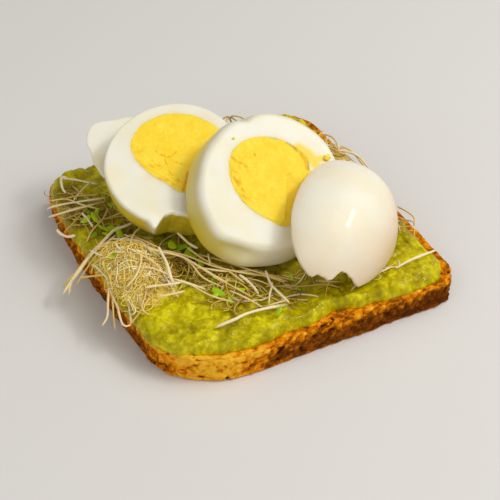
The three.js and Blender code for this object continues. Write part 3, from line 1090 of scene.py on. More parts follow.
@dataclass(frozen=True)
class YolkBall:
    """The yolk's ball in its slice: middle, radius and how much shorter it is along the egg."""

    along: float
    across: float
    below: float
    radius: float
    squash: float
    uneven: dict[float, float] = field(default_factory=lambda: {0.0: 1.0, 180.0: 1.0})

    def reach(self, angle: Array, height: Array) -> Array:
        """Distance from the ball's axis to its surface.

        Args:
            angle: directions in the cut.
            height: heights over the cut.

        Returns:
            sqrt(r^2 - h^2) / hypot(cos a / squash, sin a), made uneven.
        """
        flat = np.sqrt(np.maximum(self.radius**2 - (height + self.below) ** 2, 0.01))
        uneven = around(self.uneven, 360.0, np.degrees(angle))
        return uneven * flat / np.hypot(np.cos(angle) / self.squash, np.sin(angle))


@dataclass(frozen=True)
class Flaw:
    """A dent in an egg piece's wall, as seen from its middle: deepest at its own level below the cut."""

    angle: float
    wide: float
    deep: float
    level: float = 0.0
    tall: float = 6.5

    def weight(self, angle: Array, height: Array) -> Array:
        """How much of the dent there is: exp(-(off / wide)^2) exp(-((height - level) / tall)^2)."""
        off = degrees_from(angle, self.angle)
        return np.exp(-((off / self.wide) ** 2)) * np.exp(-(((height - self.level) / self.tall) ** 2))


@dataclass
class EggPart:
    """The part of a boiled egg between two parallel cuts, with what is torn off it."""

    name: str
    seat: Seat
    half_length: float
    half_width: float
    offset: float
    thick: float
    centre: Pair = (0.0, 0.0)
    tear: list[Pair] = field(default_factory=list)
    tear_low: float = -99.0
    flaws: list[Flaw] = field(default_factory=list)
    seed: int = 0
    columns: int = 360
    taper: float = 0.08
    soft_rim: float = 1.9
    # how much olive shade is painted on the wall, by degrees round the centre, full at shade_ends below the
    # cut
    shade: dict[float, float] = field(default_factory=lambda: {0.0: 0.5, 180.0: 0.5})
    shade_ends: float = -7.0

    def __post_init__(self) -> None:
        """Draws the piece's own noise and spreads its columns round the centre."""
        self.grain = Grain(SEED + 10 + self.seed)
        self.angle = np.arange(self.columns) * FULL_TURN / self.columns

    def egg_radius(self, x: Array) -> Array:
        """The egg's radius along its axis: b sqrt(1 - s^2) (1 - taper s), with s = x / a."""
        s = np.clip(x / self.half_length, -1, 1)
        return self.half_width * np.sqrt(1 - s * s) * (1 - self.taper * s)

    def whole_reach(self, angle: Array, height: Array) -> Array:
        """Distance from the centre to the egg's surface at a height, found by halving.

        Args:
            angle: directions in the cut.
            height: heights over the cut.

        Returns:
            The distances.
        """
        w = self.offset + height
        low = np.zeros(np.broadcast(angle, height).shape)
        high = np.full(low.shape, 45.0)
        for _ in range(30):
            middle = (low + high) / 2
            x = self.centre[0] + middle * np.cos(angle)
            y = self.centre[1] + middle * np.sin(angle)
            inside = (y * y + w * w < self.egg_radius(x) ** 2) & (np.abs(x) < self.half_length)
            low, high = np.where(inside, middle, low), np.where(inside, high, middle)
        return low

    def tear_reach(self, angle: Array) -> Array:
        """Distance from the centre to the torn outline, where a ray meets one of its edges.

        Args:
            angle: directions in the cut.

        Returns:
            The distances, far away where nothing is torn.
        """
        dx, dy = np.cos(angle), np.sin(angle)
        nearest = np.full(angle.shape, 99.0)
        corners = np.array(self.tear + self.tear[:1]) if self.tear else np.zeros((0, 2))
        for (ax, ay), (bx, by) in zip(corners, corners[1:]):
            ex, ey = bx - ax, by - ay
            px, py = ax - self.centre[0], ay - self.centre[1]
            cross = dx * ey - dy * ex
            cross = np.where(np.abs(cross) < 1e-9, 1e-9, cross)
            far = (px * ey - py * ex) / cross
            share = (px * dy - py * dx) / cross
            nearest = np.where((far > 0) & (share >= 0) & (share <= 1), np.minimum(nearest, far), nearest)
        return nearest

    def reach(self, angle: Array, height: Array) -> Array:
        """Distance from the centre to the wall, with its dents, its tear and a slight waviness.

        Args:
            angle: directions in the cut.
            height: heights over the cut.

        Returns:
            The distances.
        """
        whole = self.whole_reach(angle, height)
        for flaw in self.flaws:
            whole = whole - flaw.deep * flaw.weight(angle, height)
        ring = stacked(9 * np.cos(angle), 9 * np.sin(angle), 0.25 * height + 0 * angle)
        whole = whole - 0.35 * (0.5 + 0.5 * self.grain.lumps(ring, 5.0))
        ragged = 0.45 * self.grain.rough(ring * 3, 3.0, 3)
        torn = self.tear_reach(angle + 0 * height) + ragged
        share = eased(self.tear_low - 0.7, self.tear_low + 0.5, height)
        return whole - np.maximum(whole - torn, 0) * share

    @staticmethod
    def corner(a: Array, b: Array, c: Array, count: int) -> Array:
        """A rounded corner from a to c drawn towards b: a quadratic curve without its ends."""
        t = np.linspace(0, 1, count + 2)[1:-1, None, None]
        return (1 - t) ** 2 * a + 2 * t * (1 - t) * b + t**2 * c

    def around_centre(self, reach: Array) -> tuple[Array, Array]:
        """Places at distances from the centre, by column: centre + distance (cos a, sin a)."""
        return self.centre[0] + reach * np.cos(self.angle), self.centre[1] + reach * np.sin(self.angle)

    def edge_at(self, height: float) -> Array:
        """The wall at one height, as (distance, height) by column."""
        level = np.full_like(self.angle, height)
        return stacked(self.reach(self.angle, level), level)

    def floor_rows(self, edge: Array, count: int) -> Array:
        """Rows that close the lower cut, from just inside an edge to the middle."""
        share = np.linspace(0.97, 0, count)[:, None, None]
        return edge * [1.0, 0.0] * share + [0.0, -self.thick]

    def wall_rows(self) -> tuple[Array, Array, Array]:
        """The outside from the upper rim's corner to the lower rim's.

        Returns:
            The upper rim, the wall between, and the lower rim, as rows of (distance, height).
        """
        q = self.soft_rim
        rim, low = self.edge_at(0.0), self.edge_at(-self.thick)
        wall = np.stack([self.edge_at(z) for z in np.linspace(-q, -self.thick + q, 26)])
        upper = self.corner(rim - [q, 0.0], rim, self.edge_at(-q), 9)
        return upper, wall, self.corner(wall[-1], low, low - [q, 0.0], 7)

    def relief(self, local: Array) -> Array:
        """Gentle unevenness of a cooked surface, in millimetres."""
        return 0.2 * self.grain.lumps(local, 9.0) + 0.03 * self.grain.lumps(local + 5, 3.0)

    def marks(self, local: Array, world: Array) -> dict[str, Array]:
        """How much painted olive shade each point gets, low on the wall, on the torn wall and in deeper
        dents, and where yolk stains it.

        Args:
            local: points in the piece's frame.
            world: the same points in the toast's frame.

        Returns:
            The marks "low" and "stain", from 0 to about 1.
        """
        angle = np.arctan2(local[..., 1] - self.centre[1], local[..., 0] - self.centre[0])
        # painted olive shade low on the wall: by angle, by depth below the cut, and more lower down
        low = around(self.shade, 360.0, np.degrees(angle)) * eased(-0.3, self.shade_ends, local[..., 2])
        low = low * (0.55 + 0.45 * eased(38, 22, world[..., 2]))
        # painted shade on the torn wall
        lost = self.whole_reach(angle, 0 * angle) - self.tear_reach(angle)
        low = np.maximum(low, eased(0.3, 1.5, lost) * eased(-0.5, -1.6, local[..., 2]) * 1.1)
        # painted shade in the deeper dents
        for flaw in self.flaws:
            if flaw.level < -1 and flaw.deep > 0:
                low = np.maximum(low, 0.6 * flaw.weight(angle, local[..., 2]))
        return {"low": low, "stain": np.zeros(local.shape[:2])}

    def finish(self, rows: Array, pole: Pole, loop: bool) -> None:
        """Adds the relief, places the grid and makes the piece.

        Args:
            rows: rows of (distance, height) by column.
            pole: which end rows are single points.
            loop: whether the last row joins the first.
        """
        local = stacked(*self.around_centre(rows[..., 0]), rows[..., 1])
        push = normals_of(local, loop)
        amount = self.relief(local)
        if pole is Pole.BOTH:
            amount[[0, -1]] = 0.0
        local = local + push * amount[..., None]
        world = self.seat.place(local)
        skin = Skin()
        skin.grid(world, pole, loop, **self.marks(local, world))
        skin.piece(f"{self.name}_cooked", self.material(), "egg_white", self.name)

    def material(self) -> Material:
        """The white's finish."""
        return CookedWhite().dress()


@dataclass
class EggEnd(EggPart):
    """A piece of white alone, cut on both sides."""

    def build(self) -> None:
        """Rows from the middle of the upper cut over the wall to the middle of the lower cut."""
        upper, wall, lower = self.wall_rows()
        rim = self.edge_at(0.0) - [self.soft_rim, 0.0]
        face = rim * np.linspace(0, 1, 18)[:, None, None]
        rows = [face, upper, wall, lower, self.floor_rows(lower[-1], 10)]
        self.finish(np.concatenate(rows), Pole.BOTH, False)


@dataclass
class EggCap(EggPart):
    """The domed end of the egg, white alone, torn along its lower edge."""

    lip: float = 0.8

    def build(self) -> None:
        """Rows over the dome from its top, down the torn edge, and in across the hidden cut."""
        rim = self.edge_at(-self.thick + self.lip)
        dome_reach = rim[:, 0] * np.sin(np.linspace(0, math.pi / 2, 54))[:, None]
        dome = stacked(dome_reach, self._dome(dome_reach))
        edge = dome[-1]
        drop = np.minimum(edge[:, 1] + self.thick, 1.0)
        below = stacked(edge[:, 0] - 0.15, edge[:, 1] - drop)
        torn = eased(0.0, 3.0, self.whole_reach(self.angle, rim[:, 1]) - edge[:, 0])
        foot = stacked(edge[:, 0] - 0.9 - 7.0 * torn, np.full_like(torn, -self.thick))
        t = np.linspace(0, 1, 10)[:, None, None]
        wall = below * (1 - t) + foot * t
        rows = [dome[:-1], self.corner(dome[-2], edge, below, 4), wall, self.floor_rows(foot, 12)]
        self.finish(np.concatenate(rows), Pole.BOTH, False)

    def _dome(self, reach: Array) -> Array:
        """Height of the egg's skin over the cut: sqrt(r(x)^2 - y^2) less the cut's offset."""
        x, y = self.around_centre(reach)
        return np.sqrt(np.maximum(self.egg_radius(x) ** 2 - y * y, 0)) - self.offset

    def relief(self, local: Array) -> Array:
        """The dome is the egg's smooth outside, with only broad unevenness."""
        return 0.15 * self.grain.lumps(local, 9.0) + 0.02 * self.grain.lumps(local, 3.0)

    def marks(self, local: Array, world: Array) -> dict[str, Array]:
        """Creamier and beige towards the torn lower edge and low on the dome, more to the right: painted
        shade.

        Args:
            local: points in the piece's frame.
            world: the same points in the toast's frame.

        Returns:
            The marks "low" and "stain", from 0 to 1.
        """
        # painted beige shade, stronger to the right and lower down
        beige = 0.5 + 0.5 * eased(12, 32, world[..., 0])
        low = beige * eased(37, 19, world[..., 2]) + 0.25 * eased(-8, -12, local[..., 2])
        return {"low": np.clip(low, 0, 1), "stain": np.zeros(local.shape[:2])}

    def material(self) -> Material:
        """The dome's finish: warmer than a cut."""
        # beige takes the place of the cut white's olive: the dome's painted shade
        pale, cream, beige = paint(243, 237, 218), paint(242, 233, 207), paint(222, 192, 150)
        return CookedWhite("egg_skin", pale, cream, beige, gloss=0.55, skin=0.34, shine=0.12).dress()


@dataclass
class EggSlice(EggPart):
    """A slice with its yolk: a ring of white round a crumbly disc."""

    yolk: YolkBall | None = None
    cracks: list[tuple[float, list[Pair]]] = field(default_factory=list)
    fold: list[Pair] = field(default_factory=list)
    frayed: float = 150.0
    stains: list[tuple[list[Pair], float]] = field(default_factory=list)
    overlap: float = 0.22

    def build(self) -> None:
        """Makes the ring and the disc."""
        self._white()
        self._yolk()

    def _by_yolk(self, height: float, grow: float) -> Array:
        """The yolk's side at one height, grown outwards, as (distance, height) by column."""
        level = np.full_like(self.angle, height)
        return stacked(self.yolk.reach(self.angle, level) + grow, level)

    def _white(self) -> None:
        """Rows that run out over the upper cut, down the wall, in below and up the inner wall."""
        upper, wall, lower = self.wall_rows()
        inner = self._by_yolk(0.0, -self.overlap)
        outer = self.edge_at(0.0) - [self.soft_rim, 0.0]
        t = np.linspace(0, 1, 16)[:, None, None]
        face = inner * (1 - t) + outer * t
        inner_low = self._by_yolk(-self.thick, -self.overlap)
        outer_low = stacked(lower[-1][:, 0], inner_low[:, 1])
        under = outer_low * (1 - t[1:]) + inner_low * t[1:]
        rise = np.linspace(-self.thick, 0, 10)[1:-1]
        inside = np.stack([self._by_yolk(z, -self.overlap) for z in rise])
        self.finish(np.concatenate([face, upper, wall, lower, under, inside]), Pole.NONE, True)

    def marks(self, local: Array, world: Array) -> dict[str, Array]:
        """Olive shade low on the wall, and yellow by the yolk and where it is smeared on the cut.

        Args:
            local: points in the piece's frame.
            world: the same points in the toast's frame.

        Returns:
            The marks "low" and "stain", from 0 to about 1.
        """
        made = super().marks(local, world)
        x, y, z = (local[..., i] for i in range(3))
        stain = np.zeros(x.shape)
        for path, wide in self.stains:
            stain = np.maximum(stain, eased(wide, wide * 0.3, away_from_path(x, y, path)))
        off_x, off_y = x - self.centre[0], y - self.centre[1]
        yolk_reach = self.yolk.reach(np.arctan2(off_y, off_x), np.zeros_like(x))
        halo = 0.22 * eased(1.6, 0.0, np.hypot(off_x, off_y) - yolk_reach)
        made["stain"] = np.maximum(stain * eased(-3, -1, z), halo * eased(-2.5, -0.5, z))
        return made

    def _yolk(self) -> None:
        """Rows from the middle of the yolk's cut, over its rim, down its side and in below."""
        grow = 0.1
        share = np.linspace(0, 1, 72)[:, None, None] * 0.985
        top = self._by_yolk(0.0, grow) * share
        side = np.stack([self._by_yolk(z, grow) for z in np.linspace(-0.5, -self.thick + 0.4, 16)])
        under = self.floor_rows(self._by_yolk(-self.thick, 0.0), 12)
        rows = np.concatenate([top, side, under])
        local = stacked(*self.around_centre(rows[..., 0]), rows[..., 1])
        height, crack = self._crumbs(local)
        face = eased(-1.2, -0.2, local[..., 2])
        local[..., 2] += height * face + 0.12 * (1 - face) * self.grain.lumps(local, 2.0)
        local[-1, :, 2] = local[-1, :, 2].mean()
        skin = Skin()
        skin.grid(self.seat.place(local), Pole.BOTH, crack=crack)
        node = self.name.replace("white", "yolk")
        skin.piece(f"{node}_cooked", CookedYolk().dress(), "egg_yolk", node)

    def _crumbs(self, local: Array) -> tuple[Array, Array]:
        """Relief of a cut yolk: broken crumbs, shallow hollows and the cracks.

        Args:
            local: points in the slice's frame.

        Returns:
            Heights in millimetres, and how deep in a crack each point is, which sets painted shade in the
            cracks, strokes, hollows, gaps between crumbs and along the fold.
        """
        nearest, gap, tone = self.grain.cells(local * [1, 1, 0.2], 1.5)
        hollow = self.grain.rough(local + 30, 5.0, 3, 0.6)
        ragged = 0.5 * self.grain.rough(local + 60, 1.5, 2)
        crack = np.zeros(local.shape[:2])
        for wide, path in self.cracks:
            away = away_from_path(local[..., 0], local[..., 1], path) + ragged
            crack = np.maximum(crack, eased(wide + 0.15, 0.1, away))
        crack = crack * eased(-0.8, -0.1, self.grain.lumps(local + 88, 2.2))
        small = 1 - np.abs(self.grain.rough(local * [1, 1, 0.3] + 71, 4.0, 2, 0.6))
        small = eased(0.86, 0.99, small) * eased(0.15, 0.7, self.grain.lumps(local + 13, 4.0))
        crack = np.maximum(crack, 0.5 * small)
        x, y = local[..., 0] - self.yolk.along, local[..., 1] - self.yolk.across
        angle = np.arctan2(y, x)
        share = np.hypot(x, y) / self.yolk.reach(angle, 0 * x)
        # strokes along the rim: lumps drawn out round the yolk's middle, on the frayed side
        polar = stacked(5.0 * np.cos(angle), 5.0 * np.sin(angle), 14.0 * share)
        strokes = eased(0.75, 0.95, 1 - np.abs(self.grain.lumps(polar + 9, 1.5)))
        off = degrees_from(angle, self.frayed)
        strokes = strokes * eased(0.6, 0.84, share) * np.exp(-((off / 52.0) ** 2))
        strokes = strokes * eased(-0.5, 0.2, self.grain.lumps(local + 3, 3.0))
        # the fold: a step down with the cap's contact shadow painted along it
        fold = np.zeros(x.shape)
        if self.fold:
            line = np.array(sorted(self.fold))
            fold = eased(0.0, 0.7, local[..., 1] - np.interp(local[..., 0], line[:, 0], line[:, 1]))
            fold = fold * eased(line[0, 0] - 2, line[0, 0], local[..., 0])
        height = 0.1 + 0.28 * hollow + 0.16 * (0.6 - nearest) + 0.12 * (tone - 0.5)
        height = height - 0.32 * crack - 0.15 * strokes - 0.45 * fold
        # painted shade: cracks, hollows, gaps between crumbs, strokes and the fold
        shade = np.maximum(0.85 * crack, 0.25 * eased(0.1, 0.75, -hollow) + 0.1 * eased(0.12, 0.0, gap))
        return height, np.maximum(np.maximum(shade, 0.85 * strokes), 0.42 * fold)


@dataclass
class YolkCrumbs:
    """Crumbs of yolk that stick to the front slice's white."""

    seat: Seat
    crumbs: list[Triple]
    grain: Grain = field(default_factory=lambda: Grain(SEED + 5))

    def build(self) -> None:
        """Draws each crumb as a lumpy, slightly flattened ball: radius times (1 + 0.35 noise)."""
        skin = Skin()
        down = np.linspace(0, math.pi, 16)[:, None]
        turn = np.arange(24) * FULL_TURN / 24
        ball = np.stack(
            [np.sin(down) * np.cos(turn), np.sin(down) * np.sin(turn), np.cos(down) + 0 * turn], axis=-1
        )
        for number, (x, y, radius) in enumerate(self.crumbs):
            lumpy = ball * (1 + 0.35 * self.grain.lumps(ball + 7 * number, 0.9))[..., None]
            local = lumpy * [radius, radius * 0.85, radius * 0.7] + [x, y, 0.45 * radius]
            skin.grid(self.seat.place(local), Pole.BOTH, crack=0.0)
        finish = CookedYolk("yolk_crumb", paint(255, 238, 110), paint(255, 224, 70))
        skin.piece("yolk_crumbs", finish.dress(), "egg_yolk")


# ---- sprouts


@dataclass(frozen=True)
class Relief:
    """Heights on a square raster of columns along X by rows along Y, from the corner low."""

    heights: Array
    low: Pair
    pitch: float

    def at(self, x: Array, y: Array) -> Array:
        """Heights at places, weighted from the four raster points round each.

        Args:
            x: places along X.
            y: places along Y.

        Returns:
            The heights.
        """
        cols, rows = self.heights.shape
        u = np.clip((x - self.low[0]) / self.pitch, 0, cols - 1.001)
        v = np.clip((y - self.low[1]) / self.pitch, 0, rows - 1.001)
        i, j = u.astype(int), v.astype(int)
        s, t = u - i, v - j
        h = self.heights
        near = h[i, j] * (1 - s) + h[i + 1, j] * s
        far = h[i, j + 1] * (1 - s) + h[i + 1, j + 1] * s
        return near * (1 - t) + far * t

    def softened(self, passes: int) -> "Relief":
        """The same heights, each averaged with its neighbours.

        Args:
            passes: how many times.

        Returns:
            The smoother relief.
        """
        h = self.heights.copy()
        for _ in range(passes):
            padded = np.pad(h, 1, mode="edge")
            h = (padded[2:, 1:-1] + padded[:-2, 1:-1] + padded[1:-1, 2:] + padded[1:-1, :-2] + 2 * h) / 6
        return Relief(h, self.low, self.pitch)


class Ground:
    """What the sprouts lie on and under: the CAD bed's top, the mash and the egg's undersides."""

    LOW = (-66.0, -55.0)
    SIZE = (118.0, 111.0)
    PITCH = 0.75

    def __init__(self, mash: AvocadoMash) -> None:
        """Casts rays on the CAD nodes from above and below.

        Args:
            mash: the avocado, whose top carries the loose strands.
        """
        self.mash = mash
        counts = [int(s / self.PITCH) + 1 for s in self.SIZE]
        xs = self.LOW[0] + self.PITCH * np.arange(counts[0])
        ys = self.LOW[1] + self.PITCH * np.arange(counts[1])
        x, y = np.meshgrid(xs, ys, indexing="ij")
        self.bed = Relief(self._cast(["sprout_bed"], x, y, 80.0, -1.0, 0.0), self.LOW, self.PITCH)
        eggs = [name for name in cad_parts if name.startswith("egg_")]
        self.egg = Relief(self._cast(eggs, x, y, -5.0, 1.0, 99.0), self.LOW, self.PITCH)
        bread = self._cast(["bread_slice"], x, y, 80.0, -1.0, 0.0)
        mash_cad = self._cast(["avocado_mash"], x, y, 80.0, -1.0, 0.0)
        top, _ = mash.top(x, y)
        self.solid = Relief(np.where(mash_cad > 0, top, bread), self.LOW, self.PITCH)

    @staticmethod
    def _cast(names: list[str], x: Array, y: Array, start: float, way: float, miss: float) -> Array:
        """First heights that upright rays meet on some CAD nodes, in millimetres.

        Args:
            names: the nodes.
            x: places along X.
            y: places along Y.
            start: height that the rays start from.
            way: 1 for upwards, -1 for downwards.
            miss: the answer where a ray meets nothing.

        Returns:
            The heights.
        """
        points, faces = [], []
        for name in names:
            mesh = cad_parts[name].data
            faces += [[len(points) + v for v in face.vertices] for face in mesh.polygons]
            points += [v.co / MM for v in mesh.vertices]
        tree = BVHTree.FromPolygons(points, faces)
        direction = Vector((0, 0, way))
        found = [tree.ray_cast(Vector((a, b, start)), direction)[0] for a, b in zip(x.ravel(), y.ravel())]
        return np.array([miss if hit is None else hit.z for hit in found]).reshape(x.shape)


@dataclass(frozen=True)
class Tuft:
    """A patch of loose sprouts: where it is, how many there are, which way they mostly lie, how brown."""

    x: float
    y: float
    wide: float
    deep: float
    stems: int
    threads: int
    leaves: int
    heading: float
    spread: float
    lift: float
    aged: float = 0.3


@dataclass
class Sprouts:
    """The tangle: a felted core, stems, fine threads and seed leaves."""

    ground: Ground
    tufts: list[Tuft]
    laid: list[tuple[float, float, list[Triple]]]
    laid_leaves: list[Four]
    stem_points: int = 26
    thread_points: int = 18
    grain: Grain = field(default_factory=lambda: Grain(SEED + 3))

    # how far loose strands reach, the left limit being drawn for each, and the lowest that they lie
    FRONT, BACK, RIGHT, LEFT, FOOT = -47.0, 49.5, 47.5, (-54.0, -49.0), 12.4
    SUNK = 2.6  # strands start this far below the CAD bed's top

    def __post_init__(self) -> None:
        """Starts the random draws and smooths the ground that strands bridge."""
        self.rng = np.random.default_rng(SEED)
        bed = self.ground.bed.heights
        carried = np.maximum(np.where(bed > 0, bed - self.SUNK, 0), self.ground.solid.heights)
        self.rest = Relief(carried, Ground.LOW, Ground.PITCH).softened(3)

    def build(self) -> None:
        """Makes the core, then what lies on it."""
        self._core()
        self._strands()
        self._leaves()

    def _core(self) -> None:
        """The inside of the heap: the CAD bed's outline, its top let down and felted.

        The rows run in polar steps from the middle of the toast. The top is the CAD top less the
        drop, plus ridges 1 - |noise| that follow a swirling direction.
        """
        columns, rows = 520, 84
        angle = np.arange(columns) * FULL_TURN / columns
        far = np.linspace(0, 70, 281)
        x, y = far[:, None] * np.cos(angle), far[:, None] * np.sin(angle)
        present = (self.ground.bed.at(x, y) > 9.0) & (self.ground.solid.at(x, y) > 9.0)
        reach = np.where(present, far[:, None], 0).max(axis=0) - 1.2
        for _ in range(4):
            reach = np.minimum(reach, (np.roll(reach, 1) + np.roll(reach, -1)) / 2 + 0.25)
        share = np.linspace(1, 0, rows)[1:, None] ** 0.9
        x, y = share * reach * np.cos(angle), share * reach * np.sin(angle)
        top = self.ground.bed.at(x, y)
        flat = stacked(x, y, 0.6 * top)
        swirl = 4.0 * np.stack([self.grain.lumps(flat + s, 9.0) for s in (0.0, 40.0, 80.0)], axis=-1)
        strands = 1 - np.abs(self.grain.lumps((flat + swirl) * [1.0, 2.6, 1.0], 3.4))
        crossed = 1 - np.abs(self.grain.lumps((flat - swirl + 11) * [2.4, 1.0, 1.0], 3.0))
        felt = np.maximum(strands, crossed)
        heap = np.exp(-(((x + 42) / 15) ** 2 + ((y + 8) / 21) ** 2) * 1.2)
        rise, crease = self.ground.mash.lumps(stacked(x, y, 1.4 * top))
        dry = eased(0.28, 0.6, heap)
        height = top - 1.9 - 0.8 * heap + dry * 1.6 * (felt - 0.9) + (1 - dry) * (0.85 * rise - 0.9)
        height = np.minimum(height, self.ground.egg.at(x, y) - 0.2)
        bottom = 11.4
        edge = eased(1.0, 0.93, share)
        height = bottom + 0.2 + np.maximum(height - bottom, 0.2) * edge
        # how much painted shade each point gets: the felt's hollows in the heap, the mash's creases away from
        # it
        hollow = dry * np.clip(1.0 - felt, 0, 1) * 1.6 + (1 - dry) * crease
        low_rows = np.linspace(0, 1, 5)[:, None]
        under = stacked(low_rows * reach * np.cos(angle), low_rows * reach * np.sin(angle))
        under = np.concatenate([under, np.full((5, columns, 1), bottom)], axis=-1)
        points = np.concatenate([under, stacked(x, y, height)])
        # the hidden underside gets full painted shade
        hollow = np.concatenate([np.full((5, columns), 1.0), hollow])
        dry = np.concatenate([np.zeros((5, columns)), dry])
        skin = Skin()
        skin.grid(points, Pole.BOTH, hollow=hollow, heap=dry)
        skin.piece("sprout_core", SproutMat().dress(), "sprouts", "sprout_bed")

    def _lay(self, tuft: Tuft, count: int, points: int, lengths: Pair, bend: float) -> Array:
        """Strands scattered over a tuft.

        Each is a walk whose heading turns slowly, start + 2 curl s + wave sin(7 s + phase), with its
        middle drawn inside the tuft's ellipse and the whole moved inside the limits. Its height is
        the ground's plus a lift of its own that rises and falls along it.

        Args:
            tuft: the patch.
            count: how many strands.
            points: points along each.
            lengths: shortest and longest, in millimetres.
            bend: how much they curl, in radians.

        Returns:
            Paths, strands by points by 3.
        """
        rng = self.rng
        angle = rng.uniform(0, FULL_TURN, count)
        far = np.sqrt(rng.uniform(0, 1, count))
        middle_x = tuft.x + tuft.wide * far * np.cos(angle)
        middle_y = tuft.y + tuft.deep * far * np.sin(angle)
        start = np.radians(tuft.heading + tuft.spread * rng.normal(size=count))
        length = rng.uniform(*lengths, count)
        s = np.linspace(-0.5, 0.5, points)
        curl = bend * rng.normal(size=count)
        wave = 0.5 * bend * rng.normal(size=count)
        phase = rng.uniform(0, FULL_TURN, count)
        heading = start[:, None] + 2 * curl[:, None] * s + wave[:, None] * np.sin(7 * s + phase[:, None])
        step = length[:, None] / points
        x = np.cumsum(np.cos(heading) * step, axis=1)
        y = np.cumsum(np.sin(heading) * step, axis=1)
        x += (middle_x - x[:, points // 2])[:, None]
        y += (middle_y - y[:, points // 2])[:, None]
        left = rng.uniform(*self.LEFT, count)
        x += (np.maximum(left - x.min(axis=1), 0) - np.maximum(x.max(axis=1) - self.RIGHT, 0))[:, None]
        y += (np.maximum(self.FRONT - y.min(axis=1), 0) - np.maximum(y.max(axis=1) - self.BACK, 0))[:, None]
        lift = tuft.lift * rng.uniform(0.15, 1.0, count)[:, None]
        rise = lift * (0.6 + 0.4 * np.sin(5 * s + phase[:, None] * 2))
        z = np.maximum(self.rest.at(x, y), self.FOOT) + 0.5 + rise
        return stacked(x, y, z)

    def _clear(self, paths: Array, thick: Array) -> Array:
        """Keeps strands under the egg's low side and inside the bed's space.

        Args:
            paths: strands by points by 3.
            thick: radius of each strand.

        Returns:
            The paths, let down where needed and smoothed along their length.
        """
        x, y, z = (paths[..., i] for i in range(3))
        egg = self.ground.egg.at(x, y)
        ceiling = np.where(egg < 60, egg - 0.6 - thick[:, None], 99.0)
        near = np.minimum(ceiling, np.minimum(np.roll(ceiling, 1, 1), np.roll(ceiling, -1, 1)))
        z = np.minimum(z, near)
        for _ in range(2):
            z[:, 1:-1] = (z[:, :-2] + 2 * z[:, 1:-1] + z[:, 2:]) / 4
        return stacked(x, y, z)

    @staticmethod
    def _along(route: list[Triple], count: int) -> Array:
        """A smooth path through listed points: a cubic through each four, then even steps.

        Args:
            route: the points.
            count: points along the path.

        Returns:
            The path, in which the run from b to c is half of 2 b + (c - a) t + bend t^2 + twist t^3.
        """
        p = np.array(route, float)
        p = np.concatenate([2 * p[:1] - p[1:2], p, 2 * p[-1:] - p[-2:-1]])
        t = np.linspace(0, 1, 12, endpoint=False)[:, None]
        runs = []
        for a, b, c, d in zip(p, p[1:], p[2:], p[3:]):
            bend, twist = 2 * a - 5 * b + 4 * c - d, 3 * b - a - 3 * c + d
            runs.append(0.5 * (2 * b + (c - a) * t + bend * t**2 + twist * t**3))
        fine = np.concatenate([*runs, p[-2:-1]])
        length = np.concatenate([[0], np.cumsum(np.linalg.norm(np.diff(fine, axis=0), axis=1))])
        at = np.linspace(0, length[-1], count)
        return np.stack([np.interp(at, length, fine[:, i]) for i in range(3)], axis=-1)

    def _strands(self) -> None:
        """Stems, with the listed ones first, and fine threads."""
        rng = self.rng
        laid = np.stack([self._along(route, self.stem_points) for _, _, route in self.laid])
        loose = [self._lay(t, t.stems, self.stem_points, (9, 24), 0.9) for t in self.tufts if t.stems]
        thick = rng.uniform(0.17, 0.33, sum(len(p) for p in loose))
        paths = np.concatenate([laid, self._clear(np.concatenate(loose), thick)])
        radius = np.concatenate([[0.86 * r for r, _, _ in self.laid], thick])
        aged = np.repeat([t.aged for t in self.tufts], [t.stems for t in self.tufts])
        laid_tone = [0.1 + 0.8 * tone for _, tone, _ in self.laid]
        tone = np.concatenate([laid_tone, rng.uniform(-0.3, 0.55, len(thick)) + aged])
        s = np.linspace(0, 1, self.stem_points)
        knots = 1 + 0.12 * np.sin(9 * s + rng.uniform(0, FULL_TURN, (len(paths), 1)))
        ends = np.sqrt(np.clip(np.minimum(s, 1 - s) * 14, 0.05, 1))
        leafy = np.clip(eased(0.75, 1.0, s) * rng.uniform(-0.6, 0.7, (len(paths), 1)), 0, 1)
        skin = Skin()
        skin.tubes(paths, radius[:, None] * knots * ends, 6, tone=tone[:, None], leafy=leafy)
        finish = SproutFlesh("sprout_stem", paint(253, 240, 204), paint(232, 198, 106))
        skin.piece("sprout_stems", finish.dress(), "sprouts")
        fine = [self._lay(t, t.threads, self.thread_points, (5, 15), 1.6) for t in self.tufts if t.threads]
        count = sum(len(p) for p in fine)
        thin = rng.uniform(0.1, 0.2, count)
        aged = np.repeat([t.aged for t in self.tufts], [t.threads for t in self.tufts])[:, None]
        fine = self._clear(np.concatenate(fine), thin)
        s = np.linspace(0, 1, self.thread_points)
        ends = np.sqrt(np.clip(np.minimum(s, 1 - s) * 10, 0.05, 1))
        skin = Skin()
        tone = rng.uniform(-0.1, 0.75, (count, 1)) + aged
        skin.tubes(fine, thin[:, None] * ends, 4, tone=tone, leafy=0.0 * fine[..., 0])
        finish = SproutFlesh("sprout_thread", paint(255, 234, 138), paint(250, 210, 80))
        skin.piece("sprout_threads", finish.dress(), "sprouts")

